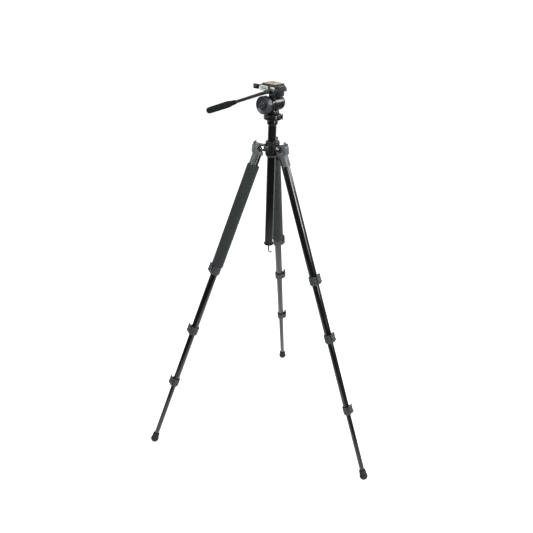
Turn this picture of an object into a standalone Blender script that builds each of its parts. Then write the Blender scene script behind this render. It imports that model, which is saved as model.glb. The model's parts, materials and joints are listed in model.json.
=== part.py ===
"""Camera tripod with a fluid head: three four-section legs, a sliding centre column and a pan-and-tilt head.

Frame: metres, +Z up, the floor at Z = 0 and the origin under the middle of the whole tripod's outline.
Every leg is modelled along -Z from its hinge, then swung out by its splay and turned to its azimuth.
The head is modelled with X forward, Y to the far side (-Y is the drag drum's side) and Z up.
"""

import math

import bmesh
import bpy
from mathutils import Matrix, Vector

MM = 0.001

# Clearances.
SEAT_GAP = 0.3 * MM            # between a piece and the seat, socket or shoulder it rests in
RUN_GAP = 0.4 * MM             # between a moving piece and what it runs past
STEP = 0.3 * MM                # inset of one shape from another that it is cast in one with

# Facets round a turned piece. Nested tubes share one number, so their flats line up.
TUBE_SIDES = 16
HEAD_SIDES = 24
PIN_SIDES = 8
LEVER_PIN_SIDES = 6

# Hub (spider) and leg hinges.
HUB_D = 41.6 * MM
HUB_TOP = 1150.0 * MM
HUB_BOTTOM = 1097.6 * MM
HUB_TAPER = 7.0 * MM
HUB_TIP_D = 33.4 * MM
HINGE_R = 40.2 * MM            # hinge pin from the column's axis
HINGE_Z = 1133.0 * MM          # hinge pin above the floor
EAR_R = 10.0 * MM
EAR_THICK = 6.0 * MM
EAR_DIP = 5.0 * MM             # fall of the web below the eye's top, clear of the clamp screw
TONGUE_W = 21.4 * MM           # width of a leg casting between its two ears
BOLT_D = 6.0 * MM
BOLT_HEAD_D = 13.0 * MM
BOLT_HEAD_H = 3.2 * MM
CLAMP_AZIMUTH = 30.0
CLAMP_DROP = 6.3 * MM          # clamp screw below the hub's top
CLAMP_SHAFT_D = 5.0 * MM
CLAMP_HEAD_D = 9.0 * MM
CLAMP_HEAD_L = 5.0 * MM

# Centre column.
COLUMN_D = 28.0 * MM
COLUMN_WALL = 1.6 * MM
COLUMN_TOP = 1221.0 * MM
COLUMN_BOTTOM = 787.3 * MM
COLLAR_D = 36.5 * MM
COLLAR_H = 14.4 * MM
COLLAR_FLOOR = 7.0 * MM        # solid below the collar's top that holds the head's stud
STUD_D = 9.4 * MM
STUD_L = 11.0 * MM
CAP_D = 34.0 * MM
CAP_H = 9.0 * MM
CAP_PLUG_L = 12.0 * MM
HOOK_DROP = 30.0 * MM          # hook's lowest point below the cap
HOOK_WIRE_D = 4.4 * MM
HOOK_BEND_R = 7.0 * MM
HOOK_BEND = 130.0              # degrees that the wire bends through

# Legs: azimuth and splay in degrees; the lower ends of locks 2 and 3 are distances from the hinge.
LEGS = {
    "left": {"azimuth": 210.0, "splay": 19.69, "lock_2": 718.0 * MM, "lock_3": 942.0 * MM,
             "lever_turn": 0.0, "foam": True},
    "right": {"azimuth": 330.0, "splay": 21.66, "lock_2": 684.0 * MM, "lock_3": 957.0 * MM,
              "lever_turn": 0.0, "foam": False},
    "back": {"azimuth": 90.0, "splay": 20.33, "lock_2": 662.0 * MM, "lock_3": 917.0 * MM,
             "lever_turn": -70.0, "foam": True},
}
LOCK_1 = 471.5 * MM            # lower end of every leg's first lock from the hinge
TUBE_D = (28.0 * MM, 24.8 * MM, 21.6 * MM, 17.2 * MM)
TUBE_WALL = 1.2 * MM
TUBE_2_L = 425.0 * MM
TUBE_3_L = 415.0 * MM
TUBE_4_L = 405.0 * MM

# Leg casting and its pull-out angle stop, in the leg's own frame (X outward, Z up the leg).
CASTING_D = 35.0 * MM
CASTING_END = 61.0 * MM        # lower end of the casting from the hinge
CASTING_SHOULDER = 12.4 * MM   # top of the round barrel from the hinge
CASTING_SOCKET = 20.0 * MM     # where the tube's socket stops, from the hinge
CASTING_OPEN = 25.0 * MM       # below here the casting is an outer shell, open towards the column
CASTING_OPEN_X = 4.0 * MM
CASTING_TOP = 6.0 * MM
CASTING_INNER = 9.0 * MM
CASTING_OUTER = 25.0 * MM
STOP_W = 14.2 * MM
STOP_THICK = 4.0 * MM
STOP_INSET = 2.0 * MM          # how far the stop's finger tab stays inside the casting's outer end
STOP_TAB_W = 8.0 * MM
STOP_TAB_RISE = 6.0 * MM
STOP_TAB_THICK = 5.0 * MM
RAIL_START = 2.0 * MM

# Lever locks between the sections.
LOCK_H = 31.0 * MM
LOCK_WALL = 4.0 * MM           # lock's ring round the upper tube
LOCK_SHOULDER = 10.0 * MM      # height of the collar that the upper tube stands on
LOCK_BEVEL = 2.4 * MM          # how far the ring narrows at its lower end
LOCK_BEVEL_H = 5.0 * MM
LUG_BOTTOM = 1.5 * MM
LUG_TOP = 16.0 * MM
LUG_THICK = 2.6 * MM
LEVER_PIVOT = 12.5 * MM        # lever pin above the lock's lower end
LEVER_HUB_D = 8.7 * MM
LEVER_HUB_W = 12.0 * MM
LEVER_W = 18.0 * MM
LEVER_L = 27.5 * MM
LEVER_THICK = 8.2 * MM
LEVER_TIP_THICK = 5.2 * MM     # above the ring the lever thins, to clear a foam sleeve
LEVER_TIP_L = 13.0 * MM
LEVER_FLARE = 0.6 * MM
LEVER_PIN_D = 2.8 * MM

# Foam grip and rubber foot.
FOAM_D = 41.5 * MM
FOAM_TOP = CASTING_END + 1.5 * MM
FOOT_D = 30.0 * MM
FOOT_TOP_D = 24.0 * MM
FOOT_H = 39.0 * MM
FOOT_SOCKET = 20.0 * MM

# Head: heights are above the floor, widths across the head, lengths along its forward axis.
PAN_REST = 328.0               # azimuth the head faces
PAN_BASE_D = 58.6 * MM
PAN_BASE_H = 18.7 * MM
PAN_BASE_EDGE = 4.0 * MM
SPIGOT_D = 20.0 * MM
SPIGOT_L = 10.0 * MM
PAN_KNOB_AZIMUTH = 8.0
PAN_KNOB_D = 20.0 * MM
PAN_KNOB_L = 3.8 * MM
PAN_KNOB_SHAFT_D = 6.0 * MM
PAN_KNOB_SHAFT_L = 7.0 * MM
TURRET_D = 42.0 * MM
TURRET_H = 7.5 * MM
BARREL_D = 48.4 * MM
BARREL_SINK = 0.1 * MM         # how far the barrel's underside dips into the turret's top
TILT_Z = COLUMN_TOP + SEAT_GAP + PAN_BASE_H + RUN_GAP + TURRET_H - BARREL_SINK + BARREL_D / 2
BARREL_NEAR = 13.0 * MM        # barrel's flat end towards the drum
BARREL_FAR = 46.0 * MM         # tip of the barrel's domed end
BARREL_DOME = 21.0 * MM
TILT_SHAFT_D = 18.0 * MM
EYE_D = 47.2 * MM
EYE_W = 13.0 * MM
DRUM_D = 57.0 * MM
DRUM_W = 23.6 * MM
DRUM_BACK_D = 46.0 * MM
DRUM_RIM = 6.5 * MM
DRUM_CAP_D = 23.0 * MM
DRUM_SOCKET = 4.0 * MM
PLATFORM_BACK = 35.0 * MM
PLATFORM_FRONT = 28.0 * MM
PLATFORM_W = 50.0 * MM
NECK_H = 15.4 * MM             # neck between the barrel and the platform
PLATFORM_BOTTOM = TILT_Z + BARREL_D / 2 + RUN_GAP + NECK_H
PLATFORM_H = 19.0 * MM
PLATFORM_TOP = PLATFORM_BOTTOM + PLATFORM_H
NOSE_L = 8.0 * MM
NOSE_TOP_W = 30.0 * MM
NECK_FRONT = 28.0 * MM
NECK_BACK = 16.0 * MM
NECK_FAR = 22.0 * MM
PLATE_W = 48.0 * MM
PLATE_L = 54.5 * MM
PLATE_X = -1.75 * MM
PLATE_H = 5.0 * MM
PLATE_KEY_W = 40.0 * MM
PLATE_KEY_L = 49.8 * MM
PLATE_KEY_H = 5.0 * MM
SCREW_D = 6.2 * MM
SCREW_RISE = 5.3 * MM
SCREW_HEAD_D = 15.0 * MM
SCREW_HEAD_H = 3.5 * MM
LEVEL_L = 36.0 * MM
LEVEL_H = 15.0 * MM
LEVEL_THICK = 2.7 * MM
LEVEL_X = -17.0 * MM
LEVEL_Z = PLATFORM_BOTTOM + 9.0 * MM
BLOCK_BACK = 11.0 * MM
BLOCK_FRONT = 27.0 * MM
BLOCK_H = 15.0 * MM
BLOCK_THICK = 2.0 * MM
HANDLE_X = 9.0 * MM
HANDLE_Z = PLATFORM_BOTTOM + 2.3 * MM
HANDLE_DROP = 20.97            # degrees below level
HANDLE_L = 300.0 * MM
HANDLE_D = 11.0 * MM
HANDLE_BOSS_D = 14.0 * MM
HANDLE_SEAT_L = 3.2 * MM
GRIP_D = 22.6 * MM
GRIP_L = 119.0 * MM
FERRULE_L = 26.0 * MM
HANDLE_SCREW_D = 5.0 * MM
HANDLE_SCREW_HEAD_D = 11.0 * MM
HANDLE_SCREW_HEAD_H = 4.2 * MM
HANDLE_SCREW_GRIP = 9.0 * MM   # how far the screw enters the platform
LATCH_X = -40.0 * MM
LATCH_Y = -15.0 * MM
LATCH_LUG_D = 10.0 * MM
LATCH_LUG_H = 8.0 * MM
LATCH_H = 6.7 * MM
LATCH_PIN_D = 4.0 * MM
LATCH_REACH = 30.0 * MM
LATCH_THUMB_L = 20.0 * MM
LATCH_THUMB_W = 9.0 * MM
LATCH_THUMB_H = 15.0 * MM
LATCH_ARM_H = 4.0 * MM

MATERIALS = {
    "black_tube": ((0.011, 0.011, 0.010), 0.22, 0.0),
    "satin_casting": ((0.090, 0.100, 0.105), 0.42, 0.6),
    "black_hub": ((0.012, 0.013, 0.014), 0.38, 0.0),
    "bright_bolt": ((0.60, 0.60, 0.58), 0.25, 1.0),
    "dark_nylon": ((0.040, 0.048, 0.047), 0.45, 0.0),
    "lever_nylon": ((0.030, 0.034, 0.034), 0.40, 0.0),
    "foam_grip": ((0.024, 0.031, 0.030), 0.90, 0.0),
    "foot_rubber": ((0.018, 0.019, 0.019), 0.75, 0.0),
    "head_black": ((0.010, 0.011, 0.012), 0.30, 0.0),
    "drum_black": ((0.022, 0.024, 0.030), 0.45, 0.0),
    "cork_top": ((0.58, 0.42, 0.25), 0.85, 0.0),
    "level_white": ((0.70, 0.74, 0.70), 0.35, 0.0),
    "grip_rubber": ((0.014, 0.014, 0.015), 0.70, 0.0),
    "steel_screw": ((0.45, 0.45, 0.44), 0.30, 1.0),
}


def clear_scene():
    for obj in list(bpy.data.objects):
        bpy.data.objects.remove(obj, do_unlink=True)


def material(name):
    """The named Principled material, made once."""
    found = bpy.data.materials.get(name)
    if found:
        return found
    colour, roughness, metallic = MATERIALS[name]
    made = bpy.data.materials.new(name)
    made.use_nodes = True
    shader = made.node_tree.nodes["Principled BSDF"]
    shader.inputs["Base Color"].default_value = (*colour, 1.0)
    shader.inputs["Roughness"].default_value = roughness
    shader.inputs["Metallic"].default_value = metallic
    return made


def finish_mesh(bm, name):
    """Weld, face outward and hand over a mesh."""
    bmesh.ops.remove_doubles(bm, verts=bm.verts, dist=0.001 * MM)
    bmesh.ops.recalc_face_normals(bm, faces=bm.faces)
    mesh = bpy.data.meshes.new(name)
    bm.to_mesh(mesh)
    bm.free()
    return mesh


def lathe(profile, sides=TUBE_SIDES, ring=False):
    """Turn (radius, height) points about Z. ring=True closes the profile into a loop, for a tube."""
    bm = bmesh.new()
    verts = [bm.verts.new((radius, 0.0, height)) for radius, height in profile]
    edges = [bm.edges.new(pair) for pair in zip(verts, verts[1:])]
    if ring:
        edges.append(bm.edges.new((verts[-1], verts[0])))
    bmesh.ops.spin(bm, geom=verts + edges, cent=(0, 0, 0), axis=(0, 0, 1),
                   angle=math.tau, steps=sides, use_merge=False)
    return finish_mesh(bm, "lathe")


def tube(outer_r, inner_r, low, high):
    """Straight open tube along Z."""
    return lathe([(outer_r, low), (outer_r, high), (inner_r, high), (inner_r, low)], ring=True)


def rod(radius, low, high, sides=TUBE_SIDES):
    """Solid round bar along Z."""
    return lathe([(0.0, low), (radius, low), (radius, high), (0.0, high)], sides)


def prism(points, plane, low, high):
    """Extrude a closed outline. plane 'xz' runs along Y, 'yz' along X and 'xy' along Z."""
    place = {
        "xz": lambda a, b, d: (a, d, b),
        "yz": lambda a, b, d: (d, a, b),
        "xy": lambda a, b, d: (a, b, d),
    }[plane]
    bm = bmesh.new()
    start = [bm.verts.new(place(a, b, low)) for a, b in points]
    face = bm.faces.new(start)
    swept = bmesh.ops.extrude_face_region(bm, geom=[face])["geom"]
    moved = [item for item in swept if isinstance(item, bmesh.types.BMVert)]
    bmesh.ops.translate(bm, verts=moved, vec=Vector(place(0.0, 0.0, high - low)))
    return finish_mesh(bm, "prism")


def block(x_range, y_range, z_range):
    """Box between two corners."""
    outline = [(x_range[0], y_range[0]), (x_range[1], y_range[0]),
               (x_range[1], y_range[1]), (x_range[0], y_range[1])]
    return prism(outline, "xy", *z_range)


def arc_points(centre, radius, start, end, steps):
    """Points along a circular arc, angles in degrees."""
    angles = [math.radians(start + (end - start) * i / steps) for i in range(steps + 1)]
    return [(centre[0] + radius * math.cos(a), centre[1] + radius * math.sin(a)) for a in angles]


def moved(mesh, matrix):
    """The same mesh, transformed."""
    mesh.transform(matrix)
    return mesh


def along_y(mesh, x=0.0, z=0.0):
    """Lay a turned piece along Y: its height runs to -Y, and it is centred at x, z."""
    return moved(mesh, Matrix.Translation((x, 0.0, z)) @ Matrix.Rotation(math.radians(90), 4, "X"))


def along_azimuth(mesh, azimuth, z):
    """Lay a turned piece out level along an azimuth at height z: its height becomes its radius."""
    turn = Matrix.Rotation(math.radians(azimuth), 4, "Z")
    lay = Matrix.Rotation(math.radians(90), 4, "Y")
    return moved(mesh, Matrix.Translation((0.0, 0.0, z)) @ turn @ lay)


def build_mesh(solids, cuts=()):
    """Unite solids and subtract cuts with exact Booleans, and return one mesh."""
    helpers = []
    base = bpy.data.objects.new("base", solids[0])
    bpy.context.collection.objects.link(base)
    jobs = [(mesh, "UNION") for mesh in solids[1:]] + [(mesh, "DIFFERENCE") for mesh in cuts]
    for mesh, operation in jobs:
        helper = bpy.data.objects.new("helper", mesh)
        bpy.context.collection.objects.link(helper)
        helper.hide_render = True
        helper.display_type = "WIRE"
        helpers.append(helper)
        modifier = base.modifiers.new(operation.lower(), "BOOLEAN")
        modifier.operation = operation
        modifier.solver = "EXACT"
        modifier.object = helper
    graph = bpy.context.evaluated_depsgraph_get()
    mesh = bpy.data.meshes.new_from_object(base.evaluated_get(graph))
    for obj in [base, *helpers]:
        bpy.data.objects.remove(obj, do_unlink=True)
    bm = bmesh.new()
    bm.from_mesh(mesh)
    return finish_mesh(bm, "built")


def piece(name, mesh, colour, parent=None, place=Matrix()):
    """Add one named piece. place is its origin in the parent's frame; the mesh is given in that frame."""
    mesh.transform(place.inverted())
    mesh.name = name
    mesh.materials.clear()
    mesh.materials.append(material(colour))
    mesh.shade_smooth()
    mesh.set_sharp_from_angle(angle=math.radians(32))
    obj = bpy.data.objects.new(name, mesh)
    bpy.context.collection.objects.link(obj)
    obj.parent = parent
    obj.matrix_basis = place
    return obj


def empty(name, parent=None, place=Matrix()):
    """Add a frame that carries pieces."""
    obj = bpy.data.objects.new(name, None)
    bpy.context.collection.objects.link(obj)
    obj.parent = parent
    obj.matrix_basis = place
    return obj


def leg_length(splay):
    """Hinge to foot tip, so that the foot's ball just touches the floor."""
    ball = FOOT_D / 2
    return (HINGE_Z - ball) / math.cos(math.radians(splay)) + ball


def foot_centre(leg):
    """Centre of a foot's ball seen from above, from the column's axis."""
    reach = leg_length(leg["splay"]) - FOOT_D / 2
    radius = HINGE_R + reach * math.sin(math.radians(leg["splay"]))
    azimuth = math.radians(leg["azimuth"])
    return radius * math.cos(azimuth), radius * math.sin(azimuth)


def outline_centre():
    """Middle of the tripod's outline from above, which the three feet set."""
    xs, ys = zip(*[foot_centre(leg) for leg in LEGS.values()])
    return (min(xs) + max(xs)) / 2, (min(ys) + max(ys)) / 2


# ---------------------------------------------------------------- hub and column

def ear_mesh(azimuth, side):
    """One hinge ear: a round eye at the pin with a web back into the hub."""
    inner = TONGUE_W / 2 + RUN_GAP
    web_top = HINGE_Z + EAR_R - EAR_DIP
    web_low = HINGE_Z - EAR_R - 1.4 * MM
    outline = [(HUB_D / 4, web_low - 8.0 * MM), (HUB_D / 2 - 0.5 * MM, web_low)]
    outline += arc_points((HINGE_R, HINGE_Z), EAR_R, -100.0, 100.0, 10)
    outline += [(HUB_D / 2 + 4 * MM, web_top), (HUB_D / 4, web_top)]
    low, high = sorted((side * inner, side * (inner + EAR_THICK)))
    return moved(prism(outline, "xz", low, high), Matrix.Rotation(math.radians(azimuth), 4, "Z"))


def spider_hub(parent):
    hub_r = HUB_D / 2
    body = rod(hub_r, HUB_BOTTOM + HUB_TAPER, HUB_TOP, HEAD_SIDES)
    tip = lathe([(0.0, HUB_BOTTOM), (HUB_TIP_D / 2, HUB_BOTTOM), (hub_r, HUB_BOTTOM + HUB_TAPER),
                 (hub_r, HUB_BOTTOM + HUB_TAPER + 2 * MM), (0.0, HUB_BOTTOM + HUB_TAPER + 2 * MM)],
                HEAD_SIDES)
    ears = [ear_mesh(leg["azimuth"], side) for leg in LEGS.values() for side in (-1, 1)]
    bore = rod(COLUMN_D / 2 + RUN_GAP, HUB_BOTTOM - 5 * MM, HUB_TOP + 5 * MM)
    holes = []
    for leg in LEGS.values():
        span = TONGUE_W / 2 + EAR_THICK + 5 * MM
        hole = along_y(rod(BOLT_D / 2 + SEAT_GAP, -span, span, PIN_SIDES), HINGE_R, HINGE_Z)
        holes.append(moved(hole, Matrix.Rotation(math.radians(leg["azimuth"]), 4, "Z")))
    clamp = along_azimuth(rod(CLAMP_SHAFT_D / 2 + SEAT_GAP, 0.0, hub_r + 5 * MM, PIN_SIDES),
                          CLAMP_AZIMUTH, HUB_TOP - CLAMP_DROP)
    mesh = build_mesh([body, tip, *ears], [bore, *holes, clamp])
    piece("spider_hub", mesh, "black_hub", parent)


def hinge_bolt(side_name, leg, parent):
    """Bolt through both ears, with a head at each end."""
    seat = TONGUE_W / 2 + RUN_GAP + EAR_THICK + SEAT_GAP
    end = seat + BOLT_HEAD_H
    head_r = BOLT_HEAD_D / 2
    profile = [(0.0, -end), (head_r, -end), (head_r, -seat), (BOLT_D / 2, -seat),
               (BOLT_D / 2, seat), (head_r, seat), (head_r, end), (0.0, end)]
    mesh = along_y(lathe(profile, 12), HINGE_R, HINGE_Z)
    turn = Matrix.Rotation(math.radians(leg["azimuth"]), 4, "Z")
    moved(mesh, turn)
    origin = Matrix.Translation(turn @ Vector((HINGE_R, 0.0, HINGE_Z)))
    piece("hinge_bolt_" + side_name, mesh, "bright_bolt", parent, origin)


def center_column(parent):
    outer = COLUMN_D / 2
    inner = outer - COLUMN_WALL
    collar = COLLAR_D / 2
    stud_hole = STUD_D / 2 + SEAT_GAP
    collar_low = COLUMN_TOP - COLLAR_H
    floor = COLUMN_TOP - COLLAR_FLOOR
    profile = [(stud_hole, COLUMN_TOP), (collar, COLUMN_TOP), (collar, collar_low),
               (outer, collar_low - (collar - outer)), (outer, COLUMN_BOTTOM), (inner, COLUMN_BOTTOM),
               (inner, floor), (stud_hole, floor)]
    piece("center_column", lathe(profile, ring=True), "black_tube", parent)


def hook_path():
    """Centre line of the load hook: a straight shank that ends in an open bend to one side."""
    top = COLUMN_BOTTOM - SEAT_GAP - CAP_H
    bend_z = top - HOOK_DROP + HOOK_WIRE_D / 2 + HOOK_BEND_R
    points = [(0.0, top + 3 * MM), (0.0, bend_z + 4 * MM)]
    points += arc_points((HOOK_BEND_R, bend_z), HOOK_BEND_R, 180.0, 180.0 + HOOK_BEND, 9)
    return points


def sweep_xz(points, radius, sides=PIN_SIDES):
    """Round wire along a path in the XZ plane, with flat ends."""
    bm = bmesh.new()
    rings = []
    last = len(points) - 1
    for index, (x, z) in enumerate(points):
        back = points[max(index - 1, 0)]
        ahead = points[min(index + 1, last)]
        run = Vector((ahead[0] - back[0], 0.0, ahead[1] - back[1])).normalized()
        across = Vector((run.z, 0.0, -run.x))
        ring = []
        for step in range(sides):
            angle = math.tau * step / sides
            offset = across * math.cos(angle) + Vector((0, 1, 0)) * math.sin(angle)
            ring.append(bm.verts.new(Vector((x, 0.0, z)) + offset * radius))
        rings.append(ring)
    for first, second in zip(rings, rings[1:]):
        for step in range(sides):
            after = (step + 1) % sides
            bm.faces.new((first[step], first[after], second[after], second[step]))
    bm.faces.new(rings[0])
    bm.faces.new(rings[-1])
    return finish_mesh(bm, "wire")


def column_end_cap(parent):
    top = COLUMN_BOTTOM - SEAT_GAP
    flange = CAP_D / 2
    plug = COLUMN_D / 2 - COLUMN_WALL - SEAT_GAP
    body = lathe([(0.0, top - CAP_H), (flange - 2.5 * MM, top - CAP_H), (flange, top - CAP_H + 2.5 * MM),
                  (flange, top), (plug, top), (plug, top + CAP_PLUG_L), (0.0, top + CAP_PLUG_L)])
    hook = sweep_xz(hook_path(), HOOK_WIRE_D / 2)
    piece("column_end_cap", build_mesh([body, hook]), "dark_nylon", parent)


def column_clamp_knob(parent):
    shaft_r = CLAMP_SHAFT_D / 2
    start = COLUMN_D / 2 + RUN_GAP + 0.8 * MM
    head = HUB_D / 2 + SEAT_GAP
    profile = [(0.0, start), (shaft_r, start), (shaft_r, head), (CLAMP_HEAD_D / 2, head),
               (CLAMP_HEAD_D / 2, head + CLAMP_HEAD_L), (0.0, head + CLAMP_HEAD_L)]
    z = HUB_TOP - CLAMP_DROP
    mesh = along_azimuth(lathe(profile, 12), CLAMP_AZIMUTH, z)
    piece("column_clamp_knob", mesh, "dark_nylon", parent, Matrix.Translation((0.0, 0.0, z)))


# ---------------------------------------------------------------- legs

def casting(prefix, parent):
    """Hinge tongue with rails for the angle stop above a round socket for the tube."""
    half = TONGUE_W / 2
    tongue = prism([(-CASTING_INNER, -CASTING_SHOULDER - 3 * MM), (-CASTING_INNER, CASTING_TOP - 4 * MM),
                    (-CASTING_INNER + 3 * MM, CASTING_TOP), (CASTING_OUTER, CASTING_TOP),
                    (CASTING_OUTER, -4 * MM), (CASTING_D / 2 - 2 * MM, -CASTING_SHOULDER - 3 * MM)],
                   "xz", -half, half)
    rails = []
    rail_inner = STOP_W / 2 + SEAT_GAP
    for side in (-1, 1):
        y_range = sorted((side * rail_inner, side * half))
        rail_top = CASTING_TOP + SEAT_GAP + STOP_THICK
        rails.append(block((RAIL_START, CASTING_OUTER), y_range, (CASTING_TOP - 2 * MM, rail_top)))
    barrel = rod(CASTING_D / 2, -CASTING_END, -CASTING_SHOULDER)
    socket = rod(TUBE_D[0] / 2 + SEAT_GAP, -CASTING_END - 5 * MM, -CASTING_SOCKET)
    hole = along_y(rod(BOLT_D / 2 + RUN_GAP, -half - 5 * MM, half + 5 * MM, PIN_SIDES))
    opening = block((-CASTING_D, CASTING_OPEN_X), (-CASTING_D, CASTING_D), (-CASTING_END - 5 * MM, -CASTING_OPEN))
    mesh = build_mesh([barrel, tongue, *rails], [socket, hole, opening])
    piece(prefix + "casting", mesh, "satin_casting", parent)


def angle_stop(prefix, leg, parent):
    """Sliding stop: its inner end meets the hub at this leg's splay, and a finger tab pulls it out."""
    splay = math.radians(leg["splay"])
    low = CASTING_TOP + SEAT_GAP
    high = low + STOP_THICK
    inner = (HUB_D / 2 + SEAT_GAP + high * math.sin(splay) - HINGE_R) / math.cos(splay)
    outer = CASTING_OUTER - STOP_INSET
    tab = outer - STOP_TAB_THICK
    plate = block((inner, outer), (-STOP_W / 2, STOP_W / 2), (low, high))
    outline = [(tab - 2 * MM, high - 1 * MM), (outer - STEP, high - 1 * MM), (outer - STEP, high + STOP_TAB_RISE),
               (tab, high + STOP_TAB_RISE), (tab - 2 * MM, high)]
    mesh = build_mesh([plate, prism(outline, "xz", -STOP_TAB_W / 2, STOP_TAB_W / 2)])
    origin = Matrix.Translation((outer, 0.0, high))
    piece(prefix + "stop", mesh, "black_hub", parent, origin)


def lock_mesh(level):
    """Lock body in its own frame, bottom at Z = 0, lever lugs towards +X."""
    upper = TUBE_D[level] / 2
    lower = TUBE_D[level + 1] / 2
    ring = upper + LOCK_WALL
    profile = [(upper + SEAT_GAP, LOCK_H), (ring, LOCK_H), (ring, LOCK_BEVEL_H), (ring - LOCK_BEVEL, 0.0),
               (lower + SEAT_GAP, 0.0), (lower + SEAT_GAP, LOCK_SHOULDER), (upper + SEAT_GAP, LOCK_SHOULDER)]
    body = lathe(profile, ring=True)
    pivot_x, pivot_z = lever_pivot(level)
    inside = LEVER_HUB_W / 2 + SEAT_GAP
    lugs = []
    root = upper + 0.8 * MM
    lug_r = LEVER_HUB_D / 2 - 0.4 * MM
    outline = [(root, LUG_TOP), (pivot_x, LUG_TOP)]
    outline += arc_points((pivot_x, pivot_z), lug_r, 62.0, -50.0, 6)
    outline += [(ring - 0.8 * MM, LUG_BOTTOM), (root, LUG_BOTTOM)]
    for side in (-1, 1):
        low, high = sorted((side * inside, side * (inside + LUG_THICK)))
        lugs.append(prism(outline, "xz", low, high))
    reach = inside + LUG_THICK + 2 * MM
    hole = along_y(rod(LEVER_PIN_D / 2 + SEAT_GAP, -reach, reach, LEVER_PIN_SIDES), pivot_x, pivot_z)
    return build_mesh([body, *lugs], [hole])


def lever_pivot(level):
    """Lever pin in the lock's frame: outside the ring by the lever's hub and a running gap."""
    ring = TUBE_D[level] / 2 + LOCK_WALL
    return ring + SEAT_GAP + LEVER_HUB_D / 2, LEVER_PIVOT


def lever_mesh():
    """Clamp lever about its pin at the origin, lying closed along +Z."""
    inner = -LEVER_HUB_D / 2 + 0.3 * MM
    outer = inner + LEVER_THICK
    stem = prism([(inner, 0.0), (outer, 0.0), (outer, 9 * MM), (inner, 9 * MM)], "xz",
                 -LEVER_HUB_W / 2, LEVER_HUB_W / 2)
    start = LUG_TOP - LEVER_PIVOT + 1.5 * MM
    tip = LEVER_L - LEVER_TIP_L
    tip_inner = outer - LEVER_TIP_THICK
    paddle = prism([(inner, start), (outer, start), (outer, tip), (outer + LEVER_FLARE, LEVER_L),
                    (tip_inner + LEVER_FLARE, LEVER_L), (tip_inner, tip), (inner, tip - 2 * MM)],
                   "xz", -LEVER_W / 2, LEVER_W / 2)
    hub = along_y(rod(LEVER_HUB_D / 2, -LEVER_HUB_W / 2, LEVER_HUB_W / 2, 12))
    pin_end = LEVER_HUB_W / 2 + SEAT_GAP + LUG_THICK
    pin = along_y(rod(LEVER_PIN_D / 2, -pin_end, pin_end, LEVER_PIN_SIDES))
    return build_mesh([hub, stem, paddle, pin])


def leg_lock(prefix, level, bottom, turn, parent):
    """Lock number level + 1 with its lever; bottom is its lower end's distance from the hinge."""
    frame = Matrix.Translation((0.0, 0.0, -bottom)) @ Matrix.Rotation(math.radians(turn), 4, "Z")
    number = str(level + 1)
    piece(prefix + "lock_" + number, moved(lock_mesh(level), frame), "dark_nylon", parent, frame)
    pivot_x, pivot_z = lever_pivot(level)
    pin_frame = frame @ Matrix.Translation((pivot_x, 0.0, pivot_z))
    piece(prefix + "lever_" + number, moved(lever_mesh(), pin_frame), "lever_nylon", parent, pin_frame)


def leg_tube(prefix, level, top, bottom, parent):
    outer = TUBE_D[level] / 2
    mesh = tube(outer, outer - TUBE_WALL, -bottom, -top)
    origin = Matrix.Translation((0.0, 0.0, -bottom))
    piece(prefix + "tube_" + str(level + 1), mesh, "black_tube", parent, origin)


def foot(prefix, leg, parent):
    """Rubber ball foot with a blind socket for the last tube."""
    ball = FOOT_D / 2
    tip = leg_length(leg["splay"])
    bands = [0.0, leg["splay"], 45.0, 72.0, 96.0]
    profile = [(ball * math.sin(math.radians(a)), ball - ball * math.cos(math.radians(a))) for a in bands]
    bore = TUBE_D[3] / 2 + SEAT_GAP
    profile += [(FOOT_TOP_D / 2 + 0.8 * MM, FOOT_H * 0.6), (FOOT_TOP_D / 2, FOOT_H), (bore, FOOT_H),
                (bore, FOOT_H - FOOT_SOCKET), (0.0, FOOT_H - FOOT_SOCKET)]
    origin = Matrix.Translation((0.0, 0.0, -tip))
    piece(prefix + "foot", moved(lathe(profile), origin), "foot_rubber", parent, origin)


def foam_grip(prefix, parent):
    bottom = LOCK_1 - LOCK_H - 1 * MM
    mesh = tube(FOAM_D / 2, TUBE_D[0] / 2 + SEAT_GAP, -bottom, -FOAM_TOP)
    piece(prefix + "foam", mesh, "foam_grip", parent)


def build_leg(side_name, leg, tripod):
    turn = Matrix.Rotation(math.radians(leg["azimuth"]), 4, "Z")
    pin = Matrix.Translation((HINGE_R, 0.0, HINGE_Z))
    swing = Matrix.Rotation(math.radians(-leg["splay"]), 4, "Y")
    frame = empty("leg_" + side_name, tripod, turn @ pin @ swing)
    prefix = "leg_" + side_name + "_"
    casting(prefix, frame)
    angle_stop(prefix, leg, frame)
    seat = LOCK_SHOULDER + SEAT_GAP
    leg_tube(prefix, 0, CASTING_SOCKET + SEAT_GAP, LOCK_1 - seat, frame)
    leg_lock(prefix, 0, LOCK_1, leg["lever_turn"], frame)
    end_2 = leg["lock_2"] - seat
    leg_tube(prefix, 1, end_2 - TUBE_2_L, end_2, frame)
    leg_lock(prefix, 1, leg["lock_2"], leg["lever_turn"], frame)
    end_3 = leg["lock_3"] - seat
    leg_tube(prefix, 2, end_3 - TUBE_3_L, end_3, frame)
    leg_lock(prefix, 2, leg["lock_3"], leg["lever_turn"], frame)
    end_4 = leg_length(leg["splay"]) - FOOT_H + FOOT_SOCKET - SEAT_GAP
    leg_tube(prefix, 3, end_4 - TUBE_4_L, end_4, frame)
    foot(prefix, leg, frame)
    if leg["foam"]:
        foam_grip(prefix, frame)


# ---------------------------------------------------------------- head

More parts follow.
